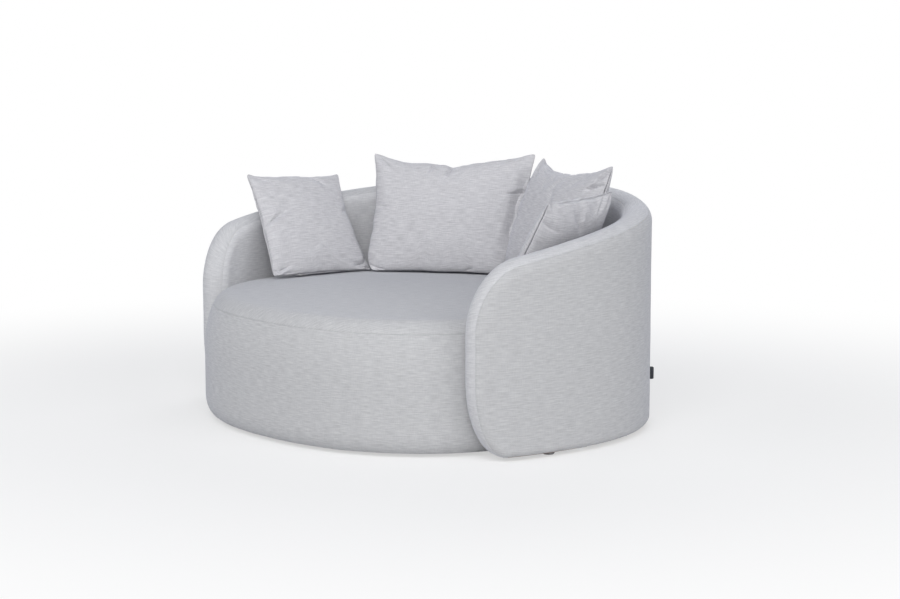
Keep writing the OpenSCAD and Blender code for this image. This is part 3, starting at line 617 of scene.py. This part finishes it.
def seat_swell(points, s, q):
    """How far the seat's upholstery stands proud. It never rises where the cushions stand on it,
    and behind the arms it is held."""
    free = smooth_step(np.minimum(s, 2 * PLAN_HALF - s), *ARM_TO_FREE_S)
    free = np.where(q > 3.2, np.maximum(free, smooth_step(q, 3.5, 3.9)), free)
    swell = uneven(points, SEAT_SWELLS)
    return np.where(q > 3.8, np.minimum(swell, 0.3) - 0.3, swell) * (HELD + (1 - HELD) * free)


seat_s = np.linspace(0, 2 * PLAN_HALF, 217)
# rows lie close beside the seam
seam_rows = np.array([0.05, 1.5, 3.5, 6, 10, 17]) / Q_LENGTH
border_q = np.concatenate([[0, 0.5, 1], np.linspace(1.15, 1.85, 5), [2, 2.12, 2.25, 2.4, 2.55,
                           2.7, 2.85], np.linspace(3, 3.45, 8), SEAM_Q - seam_rows[::-1]])
top_q = np.concatenate([SEAM_Q + seam_rows, np.linspace(3.68, 3.95, 6), [4, 4.04, 4.1, 4.17, 4.25,
                        4.34, 4.44, 4.55, 4.66, 4.77, 4.88, 5]])


def seat_mesh(q_stops, deep):
    """A part of the seat's skin, all the way round, with its cloth's map."""
    bm = grid_mesh(seat_s, q_stops)
    s, q = tags(bm)
    pulled = seam_groove((q - SEAM_Q) * Q_LENGTH, 3.0, 1.1)
    points = seat_at(s, q, deep + pulled - seat_swell(seat_at(s, q, deep), s, q))
    # how far the edge's curve runs from its foot
    curve = np.radians(np.linspace(0, 90, 60))
    run = run_along(EDGE_IN * np.cos(curve), EDGE_RISE * np.sin(curve))
    up = np.interp(np.clip(q - 3, 0, 1), np.linspace(0, 1, 60), run)
    side_map = np.stack([s, np.interp(q, [0, 1, 2, 3], [0, 40, 125, 280]) + up], -1)
    # the top is one flat panel of cloth, which turns down over the edge. It was cut with its weft
    # square to the photographed view.
    outwards = place(s, 1, 0) - place(s, 0, 0)
    flat = np.where((q < 4)[:, None], seat_at(s, np.maximum(q, 4), deep)
                    + outwards * (run[-1] - up)[:, None], points)
    flat_map = flat[:, :2] @ np.array(((right.x, -right.y), (right.y, right.x)))
    set_cloth_map(bm, np.where((q > SEAM_Q)[:, None], flat_map, side_map))
    set_places(bm, points)
    merge(bm)
    return bm


make_cover(seat_mesh(border_q, 0), "seat_border")
make_cover(seat_mesh(top_q, 0), "seat_top_cover")
make_foam(seat_mesh(np.concatenate([np.linspace(edge_q(FOAM_Z), 3.52, 7), top_q]), PAD_SKIN),
          "seat_foam", "_block")

# The side foam: an outer sheet whose two borders are drawn in and joined behind
bm = seat_mesh(np.concatenate([np.linspace(1.34, 2, 6), [2.3, 2.6, 3, edge_q(RING_TOP - 0.2)]]),
               PAD_SKIN)
drawn = bmesh.ops.extrude_edge_only(bm, edges=[e for e in bm.edges if e.is_boundary])
skin, behind = (place(seat_s, -SEAT_IN - far, 0)[:, :2] * MM for far in (PAD_SKIN, SIDE_FOAM_BACK))
for v in of(BMVert, drawn):
    v.co.xy = behind[np.argmin(np.hypot(*(skin - v.co.xy).T))]
bmesh.ops.bridge_loops(bm, edges=[e for e in of(BMEdge, drawn) if e.is_boundary])
make_foam(bm, "seat_side_foam", "_strip")

# ---- cushions
COVER_T = 1.2
EDGE_HALF = 0.15
BOTTOM_RISE = 13.0
# How far each side draws in at its middle, as a share of the half width: left, then right
DRAW_IN = {"left": (0.06, 0.11), "middle": (0.08, 0.08), "rear": (0.01, 0.02),
           "right": (0.04, 0.03)}


def seat_heights(x, y):
    """How high the top of the seat lies there."""
    back = y > PLAN_Y
    power = np.where(back, BACK_SQUARE, FRONT_SQUARE)
    deep = np.where(back, BACK_D, FRONT_D) - SEAT_IN - EDGE_IN
    share = ((np.abs(x) / (HALF_W - SEAT_IN - EDGE_IN)) ** power
             + (np.abs(y - PLAN_Y) / deep) ** power) ** (1 / power)
    return SIDE_H + EDGE_RISE + CROWN * (1 - np.minimum(share, 1) ** 2)


# name: width, height, plumpness, foot x, foot y, facing, lean, bottom tuck
CUSHIONS = {
    "left": (400, 400, 120, -515, -26.3, 87.3, 30.7, 0),
    "middle": (600, 440, 140, -262, 322.7, 37, 18.5, 50),
    "rear": (600, 440, 140, 211, 330.7, -21, 19.5, 50),
    "right": (400, 400, 120, 491, 29.7, -73, 28.5, 0),
}


def stand(cushion):
    """Where a cushion stands: on its two bottom corners, leaning back."""
    wide, _, _, x, y, facing, lean, tuck = cushion
    foot = wide - 2 * tuck
    turn = math.radians(facing)
    ends = np.outer((-foot / 2, foot / 2), (math.cos(turn), math.sin(turn))) + (x, y)
    left, right = seat_heights(*ends.T)
    return Matrix.Translation(Vector((x, y, (left + right) / 2 + 1)) * MM) \
        @ Matrix.Rotation(turn, 4, "Z") @ Matrix.Rotation(math.radians(90 - lean), 4, "X") \
        @ Matrix.Rotation(math.atan((right - left) / foot), 4, "Z")


# The photographed sags of each top edge: places along it from -1 to 1, and depths in mm
TOP_SAGS = {
    "left": ((-1, -0.85, -0.6, 0, 0.6, 0.86, 1), (0, 10, 13, 12, 12, 8, 0)),
    "middle": ((-1, -0.8, -0.62, -0.2, -0.1, 0, 0.1, 0.2, 0.56, 0.81, 1),
               (0, 20, 34, 40, 44, 52, 47, 41, 26, 14, 0)),
    "rear": ((-1, -0.85, -0.65, -0.4, 0, 0.4, 0.76, 1), (0, 22, 38, 45, 46, 36, 20, 0)),
    "right": ((-1, -0.85, -0.6, 0, 0.6, 0.86, 1), (0, 7, 10, 11, 10, 7, 0)),
}
# How far each corner lies from the plain form's: bottom left, bottom right, top left, top right
CORNERS = {
    "left": ((-3, 12), (8, 3), (20, 12), (6, -9)),
    "middle": ((0, 0), (0, 0), (8, -3), (0, 7)),
    "rear": ((0, 0), (0, 0), (-3, 0), (-14, 13)),
    "right": ((0, 0), (0, 0), (-6, 4), (0, 0)),
}
# Folds in each cushion's shown face: from u, v to u, v, then their width and depth in mm
FOLDS = {
    "left": (
        (-1, -0.06, -0.46, 0.22, 9, 7), (-1, -0.9, -0.6, -0.78, 7, 5),
        (-1, -0.99, -0.55, -0.92, 6, 4), (0.99, -0.8, 0.6, -0.9, 8, 4),
        (0.95, -0.97, 0.5, -0.72, 9, 4), (0.36, 0.97, 0.6, 0.66, 16, 5),
        (-0.9, 0.99, -0.6, 0.8, 10, 3), (1, 0.2, 0.72, 0.1, 10, 3)),
    "middle": (
        (0.02, 1, -0.08, 0.55, 9, 9), (-0.19, 0.98, -0.3, 0.66, 8, 7),
        (1, 0.37, 0.7, 0.28, 8, 7), (-0.99, -0.84, -0.7, -0.97, 8, 5),
        (-1, 0.1, -0.75, 0.05, 12, 3), (0.97, -0.9, 0.65, -0.7, 12, 5),
        (-0.94, 0.97, -0.7, 0.7, 12, 3), (0.2, -1, 0.42, -0.86, 8, 4),
        (0.95, 0.45, 0.73, -0.98, 22, 6)),
    "rear": (
        (-0.93, 0.96, -0.6, 0.62, 10, 6), (0.97, 0.9, 0.7, 0.45, 9, 8),
        (1, 0.7, 0.62, 0.56, 8, 6), (-1, -0.1, -0.7, 0.02, 12, 4),
        (-0.97, -0.9, -0.7, -0.7, 12, 5), (0.2, 1, 0.1, 0.7, 12, 4)),
    "right": (
        (-0.98, 0.12, -0.7, -0.02, 10, 6), (-0.98, -0.86, -0.6, -0.76, 8, 5),
        (0.98, 0.66, 0.5, 0.5, 14, 3), (0.9, 0.97, 0.7, 0.5, 18, 4),
        (-0.96, 0.97, -0.6, 0.7, 9, 6), (-0.7, 0.99, -0.4, 0.72, 9, 4),
        (0.1, -0.97, 0.0, -0.6, 14, 3)),
}
# The face that the photo shows, and the one that is squeezed out towards its left end: 1 for the
# front, -1 for the back
SHOWN = {"left": 1, "middle": 1, "rear": 1, "right": -1}
SQUEEZED = {"left": 0, "middle": 0, "rear": 1, "right": -1}


def cushion_face(name, u, v, side):
    """The cushion's own form: a point of one face at u, v from -1 to 1."""
    wide, high, plump, *_, tuck = CUSHIONS[name]
    drawn = np.interp(u, (-1, -0.5, 0.5, 1), np.repeat(DRAW_IN[name], 2))
    x = wide / 2 * u * (1 - drawn * (1 - v * v)) - np.where(
        v < 0, tuck * np.sign(u) * u ** 6 * v ** 8, 0)
    up, down = np.maximum(v, 0), np.maximum(-v, 0)
    y = high / 2 * (1 + v) - up ** 1.6 * np.interp(u, *TOP_SAGS[name]) \
        + down ** 3 * BOTTOM_RISE * (1 - np.abs(u) ** 4)
    for (dx, dy), side_u, side_v in zip(CORNERS[name], (-1, 1, -1, 1), (-1, -1, 1, 1)):
        near = ((1 + side_u * u) / 2 * (1 + side_v * v) / 2) ** 1.5
        x, y = x + dx * near, y + dy * near
    blunt = 5 * np.abs(u * v) ** 40
    x, y = x - blunt * np.sign(u), y - blunt * np.sign(v)
    power = np.where((u < 0) & (side * SQUEEZED[name] > 0), 4.5, 2)
    puff = np.sqrt(np.maximum(0, 1 - np.abs(u) ** power)) * np.sqrt(np.maximum(0, 1 - v * v))
    return np.stack([x, y, EDGE_HALF + (plump / 2 - EDGE_HALF) * puff], -1)


def by_folds(name, u, v, side):
    """Each fold's width and depth, how near its line every point is and how far across it."""
    half_size = np.array(CUSHIONS[name][:2]) / 2
    for *ends, width, depth in FOLDS[name]:
        start, end = np.reshape(ends, (2, 2)) * half_size
        here, line = np.stack([u, v], -1) * half_size - start, end - start
        length = np.linalg.norm(line)
        along_it = here @ line / length ** 2
        across = (here[:, 0] * line[1] - here[:, 1] * line[0]) / length
        near = np.exp(-np.maximum(0, np.maximum(-along_it, along_it - 0.5) / 0.5) ** 2 * 3)
        yield width, depth, np.where(side * SHOWN[name] >= 0, near, 0), across


def fold_depth(name, u, v, side):
    """How deep the folds lie at each point: a pinched valley with a low ridge on one side."""
    deep = np.zeros(len(u))
    for width, depth, near, across in by_folds(name, u, v, side):
        valley = np.exp(np.minimum(across / (0.5 * width), -across / width))
        ridge = np.exp(-(across / width - 1.8) ** 2)
        deep += 2 * depth * near * (valley - 0.5 * ridge)
    return deep


def closer_to_edges(count):
    even = np.linspace(-1, 1, count + 1)
    return 0.5 * even + 0.5 * np.sin(even * math.pi / 2)


def sewn_sheets(cushion, seed):
    """Two flat sheets of cloth, sewn together at their border and not yet filled."""
    wide, high = cushion[:2]
    bm = grid_mesh(closer_to_edges(round(wide / 10)), closer_to_edges(round(high / 10)))
    u, v = tags(bm)
    points = np.stack([u * wide / 2, v * high / 2, 4 * (1 - u ** 4) * (1 - v ** 4)], -1)
    points[:, 2] *= 1 + 0.5 * ripples(points, 60, seed)
    set_places(bm, points)
    side = bm.faces.layers.int.new("side")
    copy = doubled(bm)
    bmesh.ops.scale(bm, vec=(1, 1, -1), verts=of(BMVert, copy))
    for f in of(BMFace, copy):
        f[side] = 1
    merge(bm)
    even_faces(bm)
    return bm


PRESSURE, FRAMES = 5.0, 20


def blow_up(sheets):
    """Fills every pair of sheets at once, as cloth under pressure, and gives the filled points."""
    bags = {}
    for name, bm in sheets.items():
        bags[name] = bag = to_object(bm, "bag_" + name)
        cloth = bag.modifiers.new("filling", "CLOTH").settings
        cloth.quality, cloth.mass = 6, 0.15
        cloth.tension_stiffness = cloth.compression_stiffness = 25
        cloth.shear_stiffness, cloth.bending_stiffness = 10, 0.2
        cloth.use_pressure, cloth.uniform_pressure_force = True, PRESSURE
        cloth.effector_weights.gravity = 0
    for number in range(1, FRAMES + 1):
        scene.frame_set(number)
    graph = bpy.context.evaluated_depsgraph_get()
    filled = {}
    for name, bag in bags.items():
        filled[name] = np.array([v.co for v in bag.evaluated_get(graph).data.vertices]) / MM
        bpy.data.objects.remove(bag)
    scene.frame_set(1)
    return filled


sheets = {name: sewn_sheets(c, 5.0 * k) for k, (name, c) in enumerate(CUSHIONS.items())}
filled = blow_up(sheets)
# The most that wrinkles move a point of the cloth, and that they lift it off its form, in mm
WRINKLE_CAP, RISE_CAP = np.array([5.0, 5.0, 6.0]), 2.5


def evened(bm, values, times):
    """Values at a mesh's points, each averaged with its neighbours' that many times."""
    one, other = edge_ends(bm)
    count = np.bincount(np.concatenate([one, other]), minlength=len(values))[:, None]
    for _ in range(times):
        total = np.zeros_like(values)
        np.add.at(total, one, values[other])
        np.add.at(total, other, values[one])
        values = (values + total / count) / 2
    return values


def sides(bm):
    """1 for the points of a cushion's front, -1 for its back and 0 for the border."""
    return np.sign(np.round([v.co.z / MM for v in bm.verts], 3))


# Where a fold's mesh is cut once more: how near to its line, and how many widths across
FOLD_NEAR, FOLD_ACROSS = 0.1, 2.4


def wrinkle(name, bm):
    """Keeps the filled cloth's wrinkles on the mesh, and cuts the mesh finer."""
    kept = bm.verts.layers.float_vector.new("wrinkle")
    if filled is not None:
        wrinkles = filled[name] - evened(bm, filled[name], 30)
        for v, w in zip(bm.verts, WRINKLE_CAP * np.tanh(wrinkles / WRINKLE_CAP)):
            v[kept] = w
    bmesh.ops.subdivide_edges(bm, edges=bm.edges[:], cuts=1, use_grid_fill=True)
    u, v = tags(bm)
    close = np.zeros(len(u), bool)
    for width, _, near, across in by_folds(name, u, v, sides(bm)):
        close |= (near > FOLD_NEAR) & (np.abs(across) < FOLD_ACROSS * width)
    ends = close[edge_ends(bm)].all(axis=0)
    bmesh.ops.subdivide_edges(bm, edges=[e for e, cut in zip(bm.edges, ends) if cut], cuts=1,
                              use_grid_fill=True)


def cushion_points(name, bm):
    """Each point of a cushion: its own form, with the filled cloth's wrinkles and its folds. Gives
    the sides and tags of the points too."""
    side = sides(bm)
    u, v = np.clip(tags(bm), -1, 1)
    outwards = np.where(side < 0, -1, 1)
    plain = cushion_face(name, u, v, side)
    form = plain[:, 2].copy()
    plain[:, 2] *= outwards
    edge = np.maximum(np.abs(u), np.abs(v)) ** 10
    kept = bm.verts.layers.float_vector["wrinkle"]
    wrinkles = evened(bm, np.array([vertex[kept] for vertex in bm.verts]), 1)
    wrinkles[:, 2] *= 1 - edge
    wrinkles[:, :2] *= 1 - 0.7 * edge[:, None]
    plain += wrinkles
    over = np.abs(plain[:, 2]) - fold_depth(name, u, v, outwards) * (1 - edge ** 3) - form
    thick = form + np.where(over > 0, RISE_CAP * np.tanh(over / RISE_CAP), over)
    plain[:, 2] = outwards * np.maximum(thick, EDGE_HALF)
    return plain, side, u, v


# How high above the seat a cushion's belly begins to sag, and how clear of the seat it stays
SAG_FROM, LEAST_CLEAR = 70.0, 1.3


def rest_on_seat(points, where, thickness):
    """The belly of a cushion sinks on to the seat, in front of its seam and behind it. Points
    in the cushion's own mm, and where it stands."""
    turn = np.array(where.to_3x3())
    shift = np.array(where.translation) / MM
    world = points @ turn.T + shift
    height = world[:, 2] - seat_heights(world[:, 0], world[:, 1])
    sunk = np.clip(height / SAG_FROM, 0, 1) ** 2 * SAG_FROM
    sunk = np.where(height < SAG_FROM, np.maximum(LEAST_CLEAR, 0.35 * height + 0.65 * sunk),
                    height)
    free = smooth_step(thickness, 3, 9)
    world[:, 2] += np.where(height < SAG_FROM, (sunk - height) * free, 0)
    return (world - shift) @ turn


LIP, SEAM_DEPTH = 3.0, 4.5
# The zip takes this share of the bottom seam, where the seam lies shallow
ZIP_SHARE = 0.55
# The filling: its gap to the cover, its width and height as shares of the cover's, and how often
# its hollows spread to their neighbours, all but in corners where |u| + |v| passes BAG_RIM
BAG_GAP, BAG_WIDE, BAG_HIGH, BAG_PASSES, BAG_RIM = 1.4, 0.945, 0.94, 6, 1.9
CUT_APART = 1000  # mm in the cloth, for one letter of a cushion's name
for name, cushion in CUSHIONS.items():
    bm = sheets[name]
    wide, high = cushion[:2]
    wrinkle(name, bm)
    points, side, u, v = cushion_points(name, bm)
    where = stand(cushion)
    points = rest_on_seat(points, where, np.abs(points[:, 2]))
    body = name + "_cushion"
    # the seam lies shallow at the corners and along the zip
    valley = (1 - 0.7 * np.abs(u * v) ** 12) * (1 - 0.9 * smooth_step(-v, 0.97, 0.999) * (
        1 - smooth_step(np.abs(u), ZIP_SHARE + 0.01, ZIP_SHARE + 0.13)))
    set_cloth_map(bm, np.stack([u * wide / 2, v * high / 2], -1) + CUT_APART * len(name))
    for part, number, way in (("front", 0, 1), ("back", 1, -1)):
        half = bm.copy()
        of_side = half.faces.layers.int["side"]
        depth = half.verts.layers.float.new("seam depth")
        u_tag, v_tag = (half.verts.layers.float[k] for k in ("tag_u", "tag_v"))
        set_places(half, np.stack([points[:, 0], points[:, 1], np.where(
            side == 0, way * LIP * valley, points[:, 2])], -1))
        for vertex, share in zip(half.verts, valley):
            vertex[depth] = share
        bmesh.ops.delete(half, geom=[f for f in half.faces if f[of_side] != number],
                         context="FACES")
        # the border turns in to the seam: a narrow valley between the two panels
        border = [e for e in half.edges if e.is_boundary]
        for vertex in of(BMVert, bmesh.ops.extrude_edge_only(half, edges=border)):
            reach = SEAM_DEPTH * MM * vertex[depth]
            vertex.co.x -= reach * math.copysign(abs(vertex[u_tag]) ** 60, vertex[u_tag])
            vertex.co.y -= reach * math.copysign(abs(vertex[v_tag]) ** 60, vertex[v_tag])
            vertex.co.z = way * EDGE_HALF * MM
        face_out(half, (0, high / 2, 0))
        bmesh.ops.transform(half, matrix=where, verts=half.verts)
        make_piece(half, f"{body}_{part}", "_panel", cushion_cloth, body,
                   wall=COVER_T)
    # the filling stays clear of the cover's folds too, which reach in from a point's neighbours
    thick = np.abs(points[:, 2]) - COVER_T - BAG_GAP
    one, other = edge_ends(bm)
    for _ in range(BAG_PASSES):
        least = thick.copy()
        np.minimum.at(least, one, thick[other])
        np.minimum.at(least, other, thick[one])
        thick = np.where(np.abs(u) + np.abs(v) < BAG_RIM, np.maximum(least, 0.75 * thick), thick)
    set_places(bm, np.stack([points[:, 0] * BAG_WIDE,
                             high / 2 + (points[:, 1] - high / 2) * BAG_HIGH,
                             np.maximum(0.5, thick) * side], -1))
    bmesh.ops.transform(bm, matrix=where, verts=bm.verts)
    even_faces(bm)
    make_piece(bm, body + "_filling", "_bag", fibre, body)

# ---- tab, zips and thin cloths
TAB_S, TAB_OUT, TAB_H, TAB_Z, TAB_T = 585.0, 16.0, 42.0, 158.0, 1.2
# A bare strip of woven tape, folded in half and sewn in by its two ends. The fold is full, and the
# leaves close in a little behind it.
fold_r = 1.5 * TAB_T
turn = np.radians(np.linspace(90, -90, 11))
leaf = np.linspace(0, TAB_OUT - fold_r, 10)[:-1]
closing = fold_r - 0.35 * np.sin(leaf / leaf[-1] * math.pi)
out = np.concatenate([leaf, TAB_OUT - fold_r + fold_r * np.cos(turn), leaf[::-1]])
over = np.concatenate([closing, fold_r * np.sin(turn), -closing[::-1]])
bm = grid_mesh(np.arange(len(out)), np.linspace(-1, 1, 17))
u, v = tags(bm)
which = np.round(u).astype(int)
root = place(TAB_S, HALF_T, TAB_Z)
outwards = place(TAB_S, HALF_T + 1, TAB_Z) - root
sideways = np.array([-outwards[1], outwards[0], 0])
# its selvedges are a little fuller than the middle, and it leans a little down and back
share = out[which] / TAB_OUT
aside = over[which] * (1 + 0.1 * v ** 8) + 0.7 * share ** 2
points = root + out[which, None] * outwards + aside[:, None] * sideways
points[:, 2] += v * (TAB_H / 2 - 3 * share ** 6) - 0.5 * share ** 2
set_cloth_map(bm, np.stack([v * TAB_H / 2, run_along(out, over)[which]], -1))
set_places(bm, points)
face_out(bm, (0, 0, 0))
make_piece(bm, "fabric_tab", "_loop", tab_cloth, wall=TAB_T)


def add_block(bm, centre, size):
    """A small block, with its centre and size in mm."""
    made = bmesh.ops.create_cube(bm, size=1)["verts"]
    bmesh.ops.scale(bm, vec=Vector(size) * MM, verts=made)
    bmesh.ops.translate(bm, vec=Vector(centre) * MM, verts=made)


ZIP_W, TOOTH = 3.0, 2.5
for name, cushion in CUSHIONS.items():
    # two tapes sewn in at their upper edges, with a row of teeth that mesh between them
    half = cushion[0] * ZIP_SHARE / 2
    top = BOTTOM_RISE * (1 - ZIP_SHARE ** 4) - 0.4
    bm = bmesh.new()
    for way in (-1, 1):
        add_block(bm, (0, top - 0.8, way * 0.95), (2 * half, 1.6, 0.5))
        bmesh.ops.bevel(bm, geom=[e for e in bm.edges if e.calc_length() > half * MM],
                        offset=0.12 * MM, offset_type="OFFSET", affect="EDGES", segments=1,
                        profile=0.5, material=-1)
    count = int(2 * half / TOOTH)
    for k in range(count):
        x = -half + (k + 0.5) * 2 * half / count
        add_block(bm, (x, top - ZIP_W + 0.9, 0.45 * (-1) ** k), (1.5, 1.7, 1.8))
    bmesh.ops.transform(bm, matrix=stand(cushion), verts=bm.verts)
    make_piece(bm, name + "_cushion_zip", "_chain", coil, name + "_cushion", sharp=35)


# Webbing: straps with rounded selvedges, pulled tight across the ring. Black cloths under the sofa:
# one is a strip, the other is cut to shape, and both are stapled to the boards above them.
RING = "seat_top_ring"
STRIP_W = 2 * (HALF_T - FOOT_R) * MM
for name, form, material, slot, wide, long, under in (
        ("webbing_across", "_straps", jute_across, "webbing", 0.06, None, [RING]),
        ("webbing_deep", "_straps", jute_deep, "webbing", 0.06, None, [RING, "webbing_across"]),
        ("shell_bottom_cloth", "_sheet", black_cloth, "black_cloth", STRIP_W, None,
         ["shell_bottom_rail"]),
        ("seat_dust_cover", "_sheet", black_cloth, "black_cloth", 1.27, 1.14,
         ["seat_bottom_board"])):
    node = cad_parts[name]
    bm = bmesh.new()
    bm.from_mesh(node.data)
    bmesh.ops.transform(bm, matrix=node.matrix_world, verts=bm.verts)
    merge(bm, 1e-6)
    even_faces(bm)
    area = sum(f.calc_area() for f in bm.faces if f.normal.z < -0.9)
    if slot == "webbing":
        long_edges = [e for e in bm.edges if e.calc_face_angle(0) > 1 and e.calc_length() > 0.1]
        bmesh.ops.bevel(bm, geom=long_edges, offset=0.5 * MM, offset_type="OFFSET",
                        affect="EDGES", segments=2, profile=0.5, material=-1)
    sheet = make_piece(bm, name, form, material, sharp=40)

# ---- finishes of the CAD nodes
FINISHES = {
    plywood: ["shell_bottom_rail", "shell_top_rail", "arm_front_strips", "shell_posts",
              "seat_bottom_board", "seat_posts", "seat_top_ring"],
    hardboard: ["shell_inner_board", "shell_outer_board", "seat_side_board"],
    moulded: ["seat_glides", "shell_glides"],
    zinc: ["glide_screws", "joining_plates", "plate_screws"],
    nickel: [name + "_cushion_slider" for name in CUSHIONS],
}
for material, names in FINISHES.items():
    for name in names:
        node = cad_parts[name]
        if not node.material_slots:
            node.data.materials.append(material)
        for held in node.material_slots:
            held.material = material

# ---- floor and light
bm = bmesh.new()
bmesh.ops.create_grid(bm, x_segments=1, y_segments=1, size=30)
floor = to_object(bm, "floor")
bm.free()


def seen_directly(tree):
    """1 for a ray from the camera, or one that glances off or goes through something."""
    path = add(tree, "LightPath").outputs
    seen = path["Is Camera Ray"]
    for ray in ("Is Glossy Ray", "Is Transmission Ray"):
        seen = add(tree, "Math", {0: seen, 1: path[ray]}, operation="MAXIMUM")
    return seen


# Matt white paint on the floor. Most of what the camera sees of it is plain white, and the rest
# takes the object's shadow.
paint, tree = new_material("matt_white_floor", Roughness=0.9, Specular_IOR_Level=0.1,
                           Base_Color=colour("#EDEDED"))
# the paint fades to the plain white of the backdrop between 1.2 m and 3.2 m from the sofa
at = add(tree, "TexCoord").outputs["Object"]
distance = add(tree, "VectorMath", {0: at}, operation="LENGTH")
fade = add(tree, "MapRange", {0: distance.outputs["Value"], "From Min": 1.2, "From Max": 3.2,
                              "To Min": 0.55, "To Max": 1.0}, interpolation_type="SMOOTHSTEP")
share = add(tree, "Math", {0: seen_directly(tree), 1: fade}, operation="MULTIPLY")
white = add(tree, "Emission", {"Color": (1, 1, 1, 1)})
mixed = add(tree, "MixShader", {0: share, 1: tree.nodes[SHADER], 2: white})
tree.links.new(mixed.outputs[0], tree.nodes["Material Output"].inputs["Surface"])
floor.data.materials.append(paint)

world = scene.world = bpy.data.worlds.new("studio")
world.use_nodes = True
tree = world.node_tree
# the studio's walls are white and its ceiling is a dimmer, cooler grey
soft = tree.nodes["Background"]
direction = add(tree, "TexCoord").outputs["Generated"]
height = add(tree, "SeparateXYZ", {0: direction})
room = add(tree, "ValToRGB", {0: height.outputs[2]})
walls, ceiling = room.color_ramp.elements
walls.position, walls.color = 0.1, (1, 1, 1, 1)
ceiling.position, ceiling.color = 0.9, (0.37, 0.42, 0.54, 1)
tree.links.new(room.outputs[0], soft.inputs["Color"])
soft.inputs["Strength"].default_value = 0.37
white = add(tree, "Background", {"Color": (1, 1, 1, 1)})
mixed = add(tree, "MixShader", {0: seen_directly(tree), 1: soft, 2: white})
tree.links.new(mixed.outputs[0], tree.nodes["World Output"].inputs["Surface"])


def area_light(name, azimuth, elevation, distance, size, power):
    """A square soft box that faces the middle of the sofa."""
    light = bpy.data.lights.new(name, "AREA")
    light.shape, light.size, light.energy = "SQUARE", size, power
    lamp = new_object(name, light)
    way = along(azimuth, elevation)
    lamp.matrix_world = Matrix.Translation(Vector((0, 0, 0.4)) + way * distance) \
        @ way.to_track_quat("Z", "Y").to_matrix().to_4x4()
    lamp.visible_camera = False


area_light("key", 42, 43, 10, 6.2, 482)
area_light("left", -12, 35, 4.5, 2.8, 34)
area_light("side", 96, 27, 9, 5.6, 190)
area_light("back", 215, 25, 4.5, 2.8, 58)

scene.view_settings.view_transform = "Standard"
